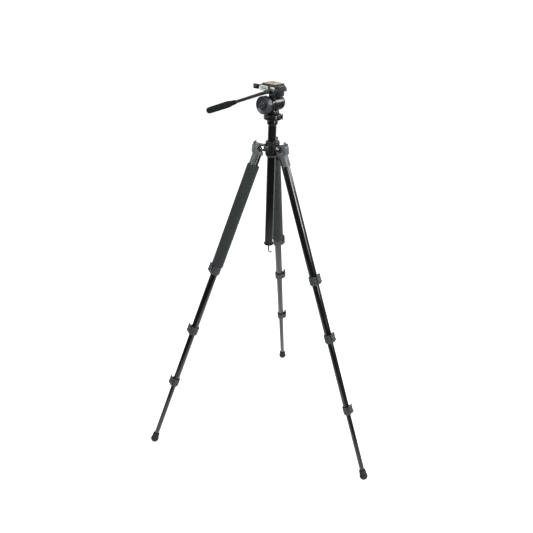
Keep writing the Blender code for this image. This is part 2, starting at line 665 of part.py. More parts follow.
def pan_base(parent):
    low = COLUMN_TOP + SEAT_GAP
    high = low + PAN_BASE_H
    radius = PAN_BASE_D / 2
    stud = STUD_D / 2
    recess = SPIGOT_D / 2 + RUN_GAP
    profile = [(0.0, low - STUD_L), (stud, low - STUD_L), (stud, low), (radius - 2 * MM, low),
               (radius, low + 2 * MM), (radius, high - PAN_BASE_EDGE), (radius - PAN_BASE_EDGE, high),
               (recess, high), (recess, high - SPIGOT_L - SEAT_GAP), (0.0, high - SPIGOT_L - SEAT_GAP)]
    body = lathe(profile, HEAD_SIDES)
    hole = along_azimuth(rod(PAN_KNOB_SHAFT_D / 2 + SEAT_GAP, radius - PAN_KNOB_SHAFT_L - SEAT_GAP,
                             radius + 5 * MM, PIN_SIDES), PAN_KNOB_AZIMUTH, low + PAN_BASE_H / 2)
    piece("pan_base", build_mesh([body], [hole]), "head_black", parent)


def pan_lock_knob(parent):
    radius = PAN_BASE_D / 2
    start = radius - PAN_KNOB_SHAFT_L
    head = radius + SEAT_GAP
    shaft_r = PAN_KNOB_SHAFT_D / 2
    knob_r = PAN_KNOB_D / 2
    profile = [(0.0, start), (shaft_r, start), (shaft_r, head), (knob_r, head),
               (knob_r, head + PAN_KNOB_L - 1.5 * MM), (knob_r - 1.5 * MM, head + PAN_KNOB_L),
               (0.0, head + PAN_KNOB_L)]
    z = COLUMN_TOP + SEAT_GAP + PAN_BASE_H / 2
    mesh = along_azimuth(lathe(profile), PAN_KNOB_AZIMUTH, z)
    piece("pan_lock_knob", mesh, "head_black", parent, Matrix.Translation((0.0, 0.0, z)))


def head_housing(parent):
    """Pan turret under a horizontal barrel, with the tilt shaft at the barrel's near end."""
    low = COLUMN_TOP + SEAT_GAP + PAN_BASE_H + RUN_GAP
    turret = rod(TURRET_D / 2, low, low + TURRET_H, HEAD_SIDES)
    spigot = rod(SPIGOT_D / 2, low - SPIGOT_L, low + 1 * MM)
    saddle = block((-14 * MM, 14 * MM), (-BARREL_NEAR, 17 * MM), (low + 2 * MM, TILT_Z - 8 * MM))
    barrel_r = BARREL_D / 2
    shoulder = BARREL_FAR - BARREL_DOME
    dome = [(barrel_r * math.sin(math.radians(a)), -shoulder - BARREL_DOME * math.cos(math.radians(a)))
            for a in (0.0, 22.0, 42.0, 60.0, 76.0, 90.0)]
    shaft_r = TILT_SHAFT_D / 2
    shaft_end = BARREL_NEAR + RUN_GAP + EYE_W + DRUM_SOCKET
    profile = [*dome, (barrel_r, BARREL_NEAR), (shaft_r, BARREL_NEAR), (shaft_r, shaft_end), (0.0, shaft_end)]
    barrel = along_y(lathe(profile, HEAD_SIDES), 0.0, TILT_Z)
    piece("head_housing", build_mesh([barrel, turret, spigot, saddle]), "head_black", parent)


def drag_knob(parent):
    """Large tilt-drag drum on the shaft's end, with a raised centre cap."""
    back = BARREL_NEAR + 2 * RUN_GAP + EYE_W + 0.1 * MM
    front = back + DRUM_W
    rim = DRUM_D / 2
    bore = TILT_SHAFT_D / 2 + RUN_GAP
    depth = BARREL_NEAR + RUN_GAP + EYE_W + DRUM_SOCKET + SEAT_GAP
    cap = DRUM_CAP_D / 2
    profile = [(0.0, depth), (bore, depth), (bore, back), (DRUM_BACK_D / 2, back), (rim - 1.5 * MM, back + 4 * MM),
               (rim, back + 9 * MM), (rim, front - 1.5 * MM), (rim - 1.5 * MM, front), (rim - DRUM_RIM, front),
               (rim - DRUM_RIM - 1 * MM, front - 1.5 * MM), (cap + 0.5 * MM, front - 1.5 * MM),
               (cap, front + 1 * MM), (0.0, front + 1 * MM)]
    mesh = along_y(lathe(profile, HEAD_SIDES), 0.0, TILT_Z)
    piece("drag_knob", mesh, "drum_black", parent, Matrix.Translation((0.0, 0.0, TILT_Z)))


def nose_outline():
    """Arched front cheek of the platform, as (y, z) points."""
    half = PLATFORM_W / 2 - STEP
    top = NOSE_TOP_W / 2
    low = PLATFORM_BOTTOM + STEP
    high = PLATFORM_TOP - STEP
    rise = high - low
    shoulder = half - (half - top) * 0.45
    return [(-half, low), (half, low), (half, low + rise * 0.35), (shoulder, low + rise * 0.8), (top, high),
            (-top, high), (-shoulder, low + rise * 0.8), (-half, low + rise * 0.35)]


def tilt_platform(parent):
    """Eye round the tilt shaft, neck, and platform with the plate's recess and the side seats."""
    half = PLATFORM_W / 2
    eye_near = BARREL_NEAR + RUN_GAP
    eye_far = eye_near + EYE_W
    eye = along_y(rod(EYE_D / 2, eye_near, eye_far, HEAD_SIDES), 0.0, TILT_Z)
    arm_y = (-eye_far + STEP, -eye_near - STEP)
    arm = block((5 * MM, NECK_FRONT - 4 * MM), arm_y, (TILT_Z + 12 * MM, PLATFORM_BOTTOM + 2 * MM))
    neck_low = TILT_Z + BARREL_D / 2 + RUN_GAP
    neck_near = -eye_far + 2 * STEP
    neck = prism([(4 * MM, neck_near), (NECK_FRONT, neck_near), (NECK_FRONT, NECK_FAR), (-NECK_BACK, NECK_FAR),
                  (-NECK_BACK, 0.0)], "xy", neck_low, PLATFORM_BOTTOM + 1 * MM)
    deck = block((-PLATFORM_BACK, PLATFORM_FRONT), (-half, half), (PLATFORM_BOTTOM, PLATFORM_TOP))
    nose = prism(nose_outline(), "yz", PLATFORM_FRONT - 1 * MM, PLATFORM_FRONT + NOSE_L)
    handle_seat = along_y(rod(HANDLE_BOSS_D / 2, half - 1 * MM, half + HANDLE_SEAT_L), HANDLE_X, HANDLE_Z)
    pad_z = (LEVEL_Z - BLOCK_H / 2, LEVEL_Z + BLOCK_H / 2)
    pad = block((BLOCK_BACK, BLOCK_FRONT), (-half - BLOCK_THICK, -half + 1 * MM), pad_z)
    lug_top = PLATFORM_BOTTOM + LATCH_LUG_H
    lug_r = LATCH_LUG_D / 2
    lug = moved(rod(lug_r, PLATFORM_BOTTOM, lug_top, 16), Matrix.Translation((LATCH_X, LATCH_Y, 0.0)))
    lug_web = block((LATCH_X, -PLATFORM_BACK + 1 * MM), (LATCH_Y - lug_r + STEP, LATCH_Y + lug_r - STEP),
                    (PLATFORM_BOTTOM + STEP, lug_top - STEP))
    key = PLATE_KEY_W / 2 + SEAT_GAP
    key_x = (PLATE_X - PLATE_KEY_L / 2 - SEAT_GAP, PLATE_X + PLATE_KEY_L / 2 + SEAT_GAP)
    recess = block(key_x, (-key, key), (PLATFORM_TOP - PLATE_KEY_H, PLATFORM_TOP + 5 * MM))
    pocket_low = PLATFORM_TOP - PLATE_KEY_H - SCREW_HEAD_H - SEAT_GAP
    pocket = moved(rod(SCREW_HEAD_D / 2 + RUN_GAP, pocket_low, PLATFORM_TOP - 2 * MM),
                   Matrix.Translation((PLATE_X, 0.0, 0.0)))
    shaft = along_y(rod(TILT_SHAFT_D / 2 + RUN_GAP, eye_near - 5 * MM, eye_far + 5 * MM), 0.0, TILT_Z)
    screw = along_y(rod(HANDLE_SCREW_D / 2 + SEAT_GAP, half - HANDLE_SCREW_GRIP - SEAT_GAP,
                        half + HANDLE_SEAT_L + 5 * MM, 12), HANDLE_X, HANDLE_Z)
    pin = moved(rod(LATCH_PIN_D / 2 + SEAT_GAP, PLATFORM_BOTTOM + 1.5 * MM, lug_top + 5 * MM, 12),
                Matrix.Translation((LATCH_X, LATCH_Y, 0.0)))
    mesh = build_mesh([deck, nose, neck, arm, eye, handle_seat, pad, lug, lug_web],
                      [recess, pocket, shaft, screw, pin])
    piece("tilt_platform", mesh, "head_black", parent, Matrix.Translation((0.0, 0.0, TILT_Z)))


def spirit_level(parent):
    """Round-ended vial housing on the platform's near side."""
    end_r = LEVEL_H / 2
    reach = LEVEL_L / 2 - end_r
    outline = arc_points((LEVEL_X + reach, LEVEL_Z), end_r, -90.0, 90.0, 6)
    outline += arc_points((LEVEL_X - reach, LEVEL_Z), end_r, 90.0, 270.0, 6)
    near = -PLATFORM_W / 2 - SEAT_GAP
    piece("spirit_level", prism(outline, "xz", near - LEVEL_THICK, near), "level_white", parent)


def qr_plate(parent):
    low = PLATFORM_TOP + SEAT_GAP
    slab = block((PLATE_X - PLATE_L / 2, PLATE_X + PLATE_L / 2), (-PLATE_W / 2, PLATE_W / 2), (low, low + PLATE_H))
    key = block((PLATE_X - PLATE_KEY_L / 2, PLATE_X + PLATE_KEY_L / 2), (-PLATE_KEY_W / 2, PLATE_KEY_W / 2),
                (low - PLATE_KEY_H, low + 1 * MM))
    hole = moved(rod(SCREW_D / 2 + RUN_GAP, low - PLATE_KEY_H - 5 * MM, low + PLATE_H + 5 * MM, 16),
                 Matrix.Translation((PLATE_X, 0.0, 0.0)))
    piece("qr_plate", build_mesh([slab, key], [hole]), "cork_top", parent)


def camera_screw(parent):
    head_top = PLATFORM_TOP - PLATE_KEY_H - SEAT_GAP + SEAT_GAP / 2
    head_low = head_top - SCREW_HEAD_H + SEAT_GAP / 2
    tip = PLATFORM_TOP + SEAT_GAP + PLATE_H + SCREW_RISE
    profile = [(0.0, head_low), (SCREW_HEAD_D / 2, head_low), (SCREW_HEAD_D / 2, head_top),
               (SCREW_D / 2, head_top), (SCREW_D / 2, tip - 0.7 * MM), (SCREW_D / 2 - 0.7 * MM, tip), (0.0, tip)]
    origin = Matrix.Translation((PLATE_X, 0.0, 0.0))
    piece("camera_screw", moved(lathe(profile, 16), origin), "steel_screw", parent, origin)


def qr_lever(parent):
    """Plate latch: a boss on the platform's lug, an arm and a thumb block."""
    low = PLATFORM_BOTTOM + LATCH_LUG_H + SEAT_GAP
    high = low + LATCH_H
    boss_r = LATCH_LUG_D / 2
    boss = moved(rod(boss_r, low, high, 16), Matrix.Translation((LATCH_X, LATCH_Y, 0.0)))
    pin = moved(rod(LATCH_PIN_D / 2, PLATFORM_BOTTOM + 2 * MM, low + 1 * MM, 12),
                Matrix.Translation((LATCH_X, LATCH_Y, 0.0)))
    end = LATCH_X - LATCH_REACH
    thumb_y = (LATCH_Y - LATCH_THUMB_W + 3 * MM, LATCH_Y + 3 * MM)
    thumb = block((end, end + LATCH_THUMB_L), thumb_y, (high - LATCH_THUMB_H, high))
    arm = block((end + LATCH_THUMB_L - 2 * MM, LATCH_X), (thumb_y[0] + 1 * MM, thumb_y[1]), (high - LATCH_ARM_H, high))
    mesh = build_mesh([boss, pin, thumb, arm])
    piece("qr_lever", mesh, "head_black", parent, Matrix.Translation((LATCH_X, LATCH_Y, 0.0)))


def handle_frame():
    """Frame at the handle's pivot: Z runs out along the rod, Y stays across the head."""
    near = PLATFORM_W / 2 + HANDLE_SEAT_L + SEAT_GAP
    pivot = Matrix.Translation((HANDLE_X, -near - HANDLE_BOSS_D / 2 + 1 * MM, HANDLE_Z))
    return pivot @ Matrix.Rotation(math.radians(-90.0 - HANDLE_DROP), 4, "Y")


def handle_rod(parent):
    frame = handle_frame()
    boss_w = HANDLE_BOSS_D - 2 * MM
    boss = along_y(rod(HANDLE_BOSS_D / 2, -boss_w / 2, boss_w / 2))
    bar = rod(HANDLE_D / 2, 0.0, HANDLE_L - 10 * MM)
    hole = along_y(rod(HANDLE_SCREW_D / 2 + SEAT_GAP, -boss_w, boss_w, 12))
    piece("handle_rod", moved(build_mesh([bar, boss], [hole]), frame), "black_tube", parent, frame)


def handle_grip(parent):
    frame = handle_frame()
    bore = HANDLE_D / 2 + SEAT_GAP
    start = HANDLE_L - GRIP_L
    grip_r = GRIP_D / 2
    profile = [(0.0, HANDLE_L - 10 * MM + SEAT_GAP), (bore, HANDLE_L - 10 * MM + SEAT_GAP),
               (bore, start - FERRULE_L), (bore + 1 * MM, start - FERRULE_L), (grip_r - 2.3 * MM, start - 2 * MM),
               (grip_r - 2.3 * MM, start), (grip_r - 0.5 * MM, start + 2 * MM), (grip_r, start + 12 * MM),
               (grip_r, HANDLE_L - 10 * MM), (grip_r - 2.5 * MM, HANDLE_L - 2 * MM), (0.0, HANDLE_L)]
    piece("handle_grip", moved(lathe(profile), frame), "grip_rubber", parent, frame)


def handle_knob(parent):
    """Clamp screw that holds the handle's boss to the platform."""
    half = PLATFORM_W / 2
    boss_w = HANDLE_BOSS_D - 2 * MM
    seat = half + HANDLE_SEAT_L + SEAT_GAP + boss_w + SEAT_GAP
    shaft_r = HANDLE_SCREW_D / 2
    head_r = HANDLE_SCREW_HEAD_D / 2
    profile = [(0.0, half - HANDLE_SCREW_GRIP), (shaft_r, half - HANDLE_SCREW_GRIP), (shaft_r, seat),
               (head_r, seat), (head_r, seat + HANDLE_SCREW_HEAD_H), (0.0, seat + HANDLE_SCREW_HEAD_H)]
    mesh = along_y(lathe(profile, 12), HANDLE_X, HANDLE_Z)
    piece("handle_knob", mesh, "dark_nylon", parent, Matrix.Translation((HANDLE_X, 0.0, HANDLE_Z)))


def build_head(tripod):
    pan_base(tripod)
    pan_lock_knob(tripod)
    head = empty("head", tripod, Matrix.Rotation(math.radians(PAN_REST), 4, "Z"))
    head_housing(head)
    drag_knob(head)
    tilt_platform(head)
    spirit_level(head)
    qr_plate(head)
    camera_screw(head)
    qr_lever(head)
    handle_rod(head)
    handle_grip(head)
    handle_knob(head)


def main():
    clear_scene()
    centre_x, centre_y = outline_centre()
    tripod = empty("tripod", None, Matrix.Translation((-centre_x, -centre_y, 0.0)))
    spider_hub(tripod)
    center_column(tripod)
    column_end_cap(tripod)
    column_clamp_knob(tripod)
    for side_name, leg in LEGS.items():
        hinge_bolt(side_name, leg, tripod)
        build_leg(side_name, leg, tripod)
    build_head(tripod)


main()
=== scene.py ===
"""Looks for a camera tripod with a fluid head: every visible surface, the studio and the camera.

Lengths are written in millimetres and turned to metres once, when a shape becomes a mesh.
A leg's frame has its origin on the hinge pin, X outward, Y along the pin and Z up the leg.
The head's frame has its origin over the column on the floor, X forward, Y to the far side and Z up.
"""
import json
import math

import bmesh
import bpy
import numpy as np
from mathutils import Matrix, Vector


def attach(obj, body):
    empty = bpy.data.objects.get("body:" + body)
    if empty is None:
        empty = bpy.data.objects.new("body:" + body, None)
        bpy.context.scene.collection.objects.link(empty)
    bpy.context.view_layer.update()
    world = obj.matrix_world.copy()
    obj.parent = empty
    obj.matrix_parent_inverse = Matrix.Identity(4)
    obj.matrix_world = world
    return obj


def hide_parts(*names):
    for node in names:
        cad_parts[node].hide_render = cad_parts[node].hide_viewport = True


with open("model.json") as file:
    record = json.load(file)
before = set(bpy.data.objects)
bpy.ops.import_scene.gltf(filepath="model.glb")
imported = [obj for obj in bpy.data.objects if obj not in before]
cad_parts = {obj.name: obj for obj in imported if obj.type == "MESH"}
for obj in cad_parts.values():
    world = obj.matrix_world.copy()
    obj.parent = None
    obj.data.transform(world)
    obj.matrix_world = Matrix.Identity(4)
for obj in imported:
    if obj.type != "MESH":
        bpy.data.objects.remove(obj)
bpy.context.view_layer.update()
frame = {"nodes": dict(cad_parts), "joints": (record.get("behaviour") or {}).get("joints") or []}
JOINTS = {joint["name"]: joint for joint in frame["joints"]}
MM = 0.001
TAU = math.tau
POINT_SIZE = 1e-6  # a row of points closer together than this is one point
WIRE_SIDES = 20
SHARP_DEG = 35

# ------------------------------------------------------------------ sizes, in millimetres
GAP = 0.3
TUBE_R = (14.0, 12.4, 10.8, 8.6)
TUBE_WALL = 1.2
INNER_TUBES = (425.0, 415.0, 405.0)
LOCK_H, LOCK_WALL, LOCK_SHOULDER = 31.0, 4.0, 10.0
PIVOT_Z = 12.5
LEVER_HUB_R = 4.35
CASTING_END, CASTING_SOCKET, CASTING_OPEN = 61.0, 20.0, 25.0
STOP_LOW, STOP_HIGH = 6.3, 10.3
FOAM_R, FOAM_TOP, FOAM_ROUND = 20.75, 62.5, 3.2
FOOT_R, FOOT_H, FOOT_BORE = 15.0, 39.0, 20.0
HUB_R, HUB_TOP, HUB_LOW = 20.8, 1150.0, 1097.6
HINGE_R, HINGE_Z, TONGUE = 40.2, 1133.0, 21.4
AZIMUTHS = {"left": 210.0, "right": 330.0, "back": 90.0}
COLUMN_R, COLUMN_BORE, COLUMN_TOP, COLUMN_LOW = 14.0, 12.4, 1221.0, 787.3
CAP_H, HOOK_DROP, HOOK_R, BEND_R = 9.0, 30.0, 2.2, 7.0
CLAMP_AZIMUTH, CLAMP_Z = 30.0, HUB_TOP - 6.3
PAN_LOW, PAN_HIGH, TURRET_LOW = 1221.3, 1240.0, 1240.4
PAN_LOCK_AZIMUTH, PAN_LOCK_Z = 8.0, 1230.65
TILT_Z, BARREL_R = 1272.0, 24.2
DRUM_BACK, DRUM_FRONT = 26.9, 50.5
DECK_LOW, DECK_TOP, DECK_HALF = 1312.0, 1331.0, 25.0
PLATE_X, PLATE_LOW = -1.75, DECK_TOP + GAP
POCKET_X, POCKET_Y = 25.2, 20.3
LEVEL_X, LEVEL_Y, LEVEL_Z = -17.0, -25.3, 1321.0
LATCH_X, LATCH_Y, LATCH_LOW, LATCH_HIGH = -40.0, -15.0, 1320.3, 1327.0
THREAD_PITCH = 1.27
HANDLE = (9.0, -34.5, 1314.3)
HANDLE_DROP = 20.97
GRIP_START, GRIP_END = 181.0, 300.0


# ------------------------------------------------------------------ shapes as arrays

class Shape:
    """Points, quads, flat polygons and corner coordinates (in mm along the surface) of one closed shell."""

    def __init__(self, points, quads, polygons, uv):
        self.points = np.asarray(points, float)
        self.quads = np.asarray(quads, int).reshape(-1, 4)
        self.polygons = [list(map(int, p)) for p in polygons]
        self.uv = uv

    def at(self, matrix):
        """The same shape carried by a 4 x 4 matrix: rotation rows times points, plus the offset."""
        self.points = self.points @ matrix[:3, :3].T + matrix[:3, 3]
        return self


def surface(points, capped=True):
    """Shell over a (rows, columns, 3) array. Columns wrap round, and rows wrap too when it isn't capped.

    Capped: the first and last rows are closed with a flat polygon, or with a point where the row has no size.
    Corner coordinates are the mean distance walked along the columns and along the rows.
    """
    rows, cols = points.shape[:2]
    next_col = (np.arange(cols) + 1) % cols
    row = np.arange(rows - 1 if capped else rows)
    next_row = (row + 1) % rows
    a = row[:, None] * cols + np.arange(cols)
    b = row[:, None] * cols + next_col
    c = next_row[:, None] * cols + next_col
    d = next_row[:, None] * cols + np.arange(cols)
    quads = np.stack([a, b, c, d], -1)
    across = np.linalg.norm(points[:, next_col] - points, axis=2).max(0)
    along = np.linalg.norm(np.roll(points, -1, 0) - points, axis=2).mean(1)
    u = np.concatenate([[0], np.cumsum(across)])
    v = np.concatenate([[0], np.cumsum(along)])
    uv = np.empty(quads.shape + (2,))
    uv[..., 0, 0] = uv[..., 3, 0] = u[:-1]
    uv[..., 1, 0] = uv[..., 2, 0] = u[1:]
    uv[..., 0, 1] = uv[..., 1, 1] = v[row][:, None]
    uv[..., 2, 1] = uv[..., 3, 1] = v[row + 1][:, None]
    caps = []
    if capped:
        size = np.ptp(points[[0, -1]], axis=1).max(1)
        if size[0] > POINT_SIZE:
            caps.append(np.arange(cols)[::-1])
        if size[1] > POINT_SIZE:
            caps.append((rows - 1) * cols + np.arange(cols))
    return Shape(points.reshape(-1, 3), quads, caps, uv.reshape(-1, 4, 2))


def rounded(corners, radii, steps, closed=False):
    """Polyline with each corner replaced by an arc: a quadratic curve between the two tangent points.

    A corner's reach is its radius, held to 45 % of the shorter side that meets there.
    """
    p = np.asarray(corners, float)
    r = np.broadcast_to(np.asarray(radii, float), len(p))
    before, after = np.roll(p, 1, 0) - p, np.roll(p, -1, 0) - p
    lb = np.linalg.norm(before, axis=1)
    la = np.linalg.norm(after, axis=1)
    reach = np.minimum(r, 0.45 * np.minimum(lb, la))
    first = p + before / np.maximum(lb, 1e-9)[:, None] * reach[:, None]
    last = p + after / np.maximum(la, 1e-9)[:, None] * reach[:, None]
    t = np.linspace(0, 1, steps)[None, :, None]
    arcs = (1 - t) ** 2 * first[:, None] + 2 * t * (1 - t) * p[:, None] + t ** 2 * last[:, None]
    if closed:
        return arcs.reshape(-1, 2)
    return np.concatenate([p[:1], arcs[1:-1].reshape(-1, 2), p[-1:]])


def turned(profile, count, ring=False, wave=None):
    """Solid of revolution: (radius, height) carried round Z; wave(radius, height, angle) may change the radius."""
    profile = np.asarray(profile, float)
    r = np.repeat(profile[:, :1], count, 1)
    z = np.repeat(profile[:, 1:], count, 1)
    a = np.repeat(np.arange(count)[None] / count * TAU, len(profile), 0)
    if wave is not None:
        r = np.where(r > POINT_SIZE, wave(r, z, a), r)
    return surface(np.stack([r * np.cos(a), r * np.sin(a), z], -1), capped=not ring)


def grooves(depth, count, share, above, low=-math.inf, high=math.inf, reach=TAU):
    """Wave for turned(): grooves where cos(count * angle) passes share, outside a radius and between two heights.

    They keep within reach, in radians, of the direction -X.
    """
    return lambda r, z, a: r - depth * ((np.cos(a * count) > share) & (r > above) & (z > low) & (z < high)
                                        & (np.abs(a - math.pi) < reach))


def slab(outline, low, high, bevel, plane="xy", steps=3):
    """Plate cut to a closed outline with rounded edges.

    Each edge is a quarter round: the outline moves inwards by bevel * (1 - sin t) while the level moves by
    bevel * (1 - cos t). Corners move along the mean of their two side normals.
    """
    p = np.asarray(outline, float)
    side = np.roll(p, -1, 0) - p
    area = np.sum(p[:, 0] * np.roll(p[:, 1], -1) - p[:, 1] * np.roll(p[:, 0], -1))
    normal = np.stack([side[:, 1], -side[:, 0]], 1) * np.sign(area)
    normal /= np.maximum(np.linalg.norm(normal, axis=1), 1e-9)[:, None]
    mean = normal + np.roll(normal, 1, 0)
    mean /= np.maximum((mean ** 2).sum(1) / 2, 0.3)[:, None]
    t = np.linspace(0, math.pi / 2, steps + 1)
    inset = bevel * (1 - np.sin(t))
    level = bevel * (1 - np.cos(t))
    insets = np.concatenate([inset, inset[::-1]])
    levels = np.concatenate([low + level, high - level[::-1]])
    ring = p[None] - mean[None] * insets[:, None, None]
    deep = np.broadcast_to(levels[:, None], ring.shape[:2])
    order = {"xy": [0, 1, 2], "xz": [0, 2, 1], "yz": [2, 0, 1]}[plane]
    return surface(np.stack([ring[..., 0], ring[..., 1], deep], -1)[..., order])


def rect(x, y):
    """Corners of a rectangle between two places along X and two along Y."""
    return [(x[0], y[0]), (x[1], y[0]), (x[1], y[1]), (x[0], y[1])]


def cut(outline, corner, low, high, bevel, plane="xy", fine=3):
    """Slab whose outline has rounded corners, with `fine` points on each."""
    return slab(rounded(outline, corner, fine, closed=True), low, high, bevel, plane)


def box(x, y, z, radius, bevel):
    """Rounded block between two corners."""
    return cut(rect(x, y), radius, z[0], z[1], bevel, fine=4)


def rim(outer, inner, low, high, bevel):
    """Closed wall between two outlines of as many points: up the outer side, over the top and down the inner side.

    The top edges are chamfered by moving a share of bevel over the wall's width.
    """
    o, i = np.asarray(outer, float), np.asarray(inner, float)
    width = np.linalg.norm(i - o, axis=1)[:, None]
    share = np.minimum(bevel / np.maximum(width, 1e-6), 0.45)
    rows = [(o, low), (o, high - bevel), (o + (i - o) * share * 0.3, high - bevel * 0.3), (o + (i - o) * share, high),
            (i - (i - o) * share, high), (i, high - bevel), (i, low)]
    grid = np.stack([np.column_stack([p, np.full(len(p), z)]) for p, z in rows])
    return surface(grid, capped=False)


def sweep(path, radius):
    """Round wire along a smooth path; each end closes over one smaller ring and a flat, as on cropped wire."""
    path = np.asarray(path, float)
    run = np.gradient(path, axis=0)
    run /= np.linalg.norm(run, axis=1)[:, None]
    side = np.cross(run, (0.0, 1.0, 0.0))
    side /= np.linalg.norm(side, axis=1)[:, None]
    up = np.cross(run, side)
    grow = np.concatenate([[0.6], np.ones(len(path)), [0.6]]) * radius
    path, side, up = (np.concatenate([v[:1], v, v[-1:]]) for v in (path, side, up))
    path[0] -= run[0] * radius * 0.5
    path[-1] += run[-1] * radius * 0.5
    a = np.arange(WIRE_SIDES) / WIRE_SIDES * TAU
    ring = side[:, None] * np.cos(a)[:, None] + up[:, None] * np.sin(a)[:, None]
    return surface(path[:, None] + ring * grow[:, None, None])


def superellipse(a, power):
    """Cosine and sine of an angle, each raised to 2 / power with its sign kept."""
    return tuple(np.sign(f) * np.abs(f) ** (2 / power) for f in (np.cos(a), np.sin(a)))


def loft(path, across, half_w, half_t, power, count, bow=0.0):
    """Superellipse section carried along a path.

    Each row's section spans half_w along `across` and half_t along the third direction (path x across);
    bow moves a point by -bow * (its place across) squared along that third direction, which wraps a paddle.
    """
    path = np.asarray(path, float)
    rows = len(path)
    run = np.gradient(path, axis=0)
    run /= np.linalg.norm(run, axis=1)[:, None]
    side = np.broadcast_to(np.asarray(across, float), (rows, 3))
    side = side - (side * run).sum(1)[:, None] * run
    side /= np.linalg.norm(side, axis=1)[:, None]
    third = np.cross(run, side)
    c, s = superellipse(np.arange(count) / count * TAU, power)
    w = np.broadcast_to(half_w, rows)[:, None] * c
    t = np.broadcast_to(half_t, rows)[:, None] * s
    t = t - np.broadcast_to(bow, rows)[:, None] * w ** 2
    return surface(path[:, None] + side[:, None] * w[..., None] + third[:, None] * t[..., None])


def arc(centre, radius, start, end, count):
    """Points on a circular arc, angles in degrees."""
    a = np.radians(np.linspace(start, end, count))
    return np.stack([centre[0] + radius * np.cos(a), centre[1] + radius * np.sin(a)], 1)


# ------------------------------------------------------------------ frames

def shift(x, y=0.0, z=0.0):
    """Moves by millimetres."""
    return np.array(Matrix.Translation((x, y, z)))


def spin(degrees, axis):
    """Turns about an axis through the origin."""
    return np.array(Matrix.Rotation(math.radians(degrees), 4, axis))


def lay_y(x=0.0, z=0.0):
    """Lays a turned piece along Y: its height runs towards -Y."""
    return shift(x, 0, z) @ spin(90, "X")


def lay_out(azimuth, z):
    """Lays a turned piece level along an azimuth in degrees: its height becomes its reach."""
    return shift(0, 0, z) @ spin(azimuth, "Z") @ spin(90, "Y")


def basis(x, y, z, origin):
    """4 x 4 matrix from three axes and an origin in mm."""
    m = np.eye(4)
    m[:3, 0], m[:3, 1], m[:3, 2], m[:3, 3] = x, y, z, origin
    return m


PAN = JOINTS["pan"]["pos_m"]
COLUMN = shift(PAN[0] / MM, PAN[1] / MM)


def head_frame():
    """The tilt axis points to -Y, so X is forward: the cross product of Y and Z."""
    y = -np.array(JOINTS["tilt"]["axis"])
    x = np.cross(y, (0, 0, 1))
    return basis(x, y, (0, 0, 1), COLUMN[:3, 3])


def leg_frame(name):
    """Hinge joint gives the origin and Y; the sections' slide gives -Z."""
    hinge = JOINTS["leg_%s_fold" % name]
    y = np.array(hinge["axis"])
    z = -np.array(JOINTS["leg_%s_slide_2" % name]["axis"])
    return basis(np.cross(y, z), y, z, np.array(hinge["pos_m"]) / MM)


HEAD = head_frame()


# ------------------------------------------------------------------ colours and nodes

def srgb(text):
    """Linear colour of an sRGB hex value."""
    value = np.array([int(text[i:i + 2], 16) for i in (1, 3, 5)]) / 255
    linear = np.where(value <= 0.04045, value / 12.92, ((value + 0.055) / 1.055) ** 2.4)
    return (*linear.tolist(), 1.0)


def add(tree, kind, inputs=None, **settings):
    """One node: settings are its properties, inputs its socket values or the sockets that feed them."""
    node = tree.nodes.new(kind)
    for key, value in settings.items():
        setattr(node, key, value)
    for key, value in (inputs or {}).items():
        socket = node.inputs[key]
        if isinstance(value, bpy.types.NodeSocket):
            tree.links.new(value, socket)
        else:
            socket.default_value = value
    return node


def blank(owner):
    """Empty node tree of a material or a world."""
    owner.use_nodes = True
    owner.node_tree.nodes.clear()
    return owner.node_tree


def start(name, colour, roughness, metallic=0.0, **sockets):
    """Material with one Principled shader, and its tree."""
    made = bpy.data.materials.new(name)
    tree = blank(made)
    values = {"Base Color": srgb(colour), "Roughness": roughness, "Metallic": metallic, **sockets}
    shader = add(tree, "ShaderNodeBsdfPrincipled", values)
    add(tree, "ShaderNodeOutputMaterial", {"Surface": shader.outputs["BSDF"]})
    made.diffuse_color = srgb(colour)
    return made, tree, shader


def maths(tree, operation, *values):
    """Result of one sum on numbers or sockets."""
    return add(tree, "ShaderNodeMath", dict(enumerate(values)), operation=operation).outputs[0]


def noise(tree, coordinates, size_mm, detail, stretch=(1, 1, 1)):
    """Noise whose cells are size_mm across; coordinates are in metres, and stretch squeezes them."""
    mapped = add(tree, "ShaderNodeMapping", {"Vector": coordinates, "Scale": stretch})
    scale = 1.0 / (size_mm * MM)
    node = add(tree, "ShaderNodeTexNoise", {"Vector": mapped.outputs[0], "Scale": scale, "Detail": detail})
    return node.outputs["Fac"]


def cells(tree, coordinates, size_mm, **settings):
    """Voronoi cells size_mm across."""
    return add(tree, "ShaderNodeTexVoronoi", {"Vector": coordinates, "Scale": 1.0 / (size_mm * MM)}, **settings)


def ramp(tree, value, low, high, out_low, out_high):
    """Straight map of low..high to out_low..out_high, clamped."""
    node = add(tree, "ShaderNodeMapRange", {"Value": value, "From Min": low, "From Max": high,
                                            "To Min": out_low, "To Max": out_high})
    return node.outputs[0]


def spread(tree, value, low, high):
    """Noise mapped to low..high over the range that it mostly keeps to."""
    return ramp(tree, value, 0.3, 0.7, low, high)


def blend(tree, factor, first, second):
    """Mix of two colours; first and second are hex texts or sockets."""
    node = add(tree, "ShaderNodeMix", {0: factor}, data_type="RGBA")
    for index, value in ((6, first), (7, second)):
        if isinstance(value, str):
            node.inputs[index].default_value = srgb(value)
        else:
            tree.links.new(value, node.inputs[index])
    return node.outputs[2]


def mottle(tree, value, first, second, most=1):
    """Two colours mixed by noise: up to `most` of the second one."""
    return blend(tree, spread(tree, value, 0, most), first, second)


def bump(tree, height, depth_mm, strength, normal=None):
    """Bump whose full height is depth_mm."""
    inputs = {"Height": height, "Distance": depth_mm * MM, "Strength": strength}
    if normal is not None:
        inputs["Normal"] = normal
    return add(tree, "ShaderNodeBump", inputs).outputs[0]


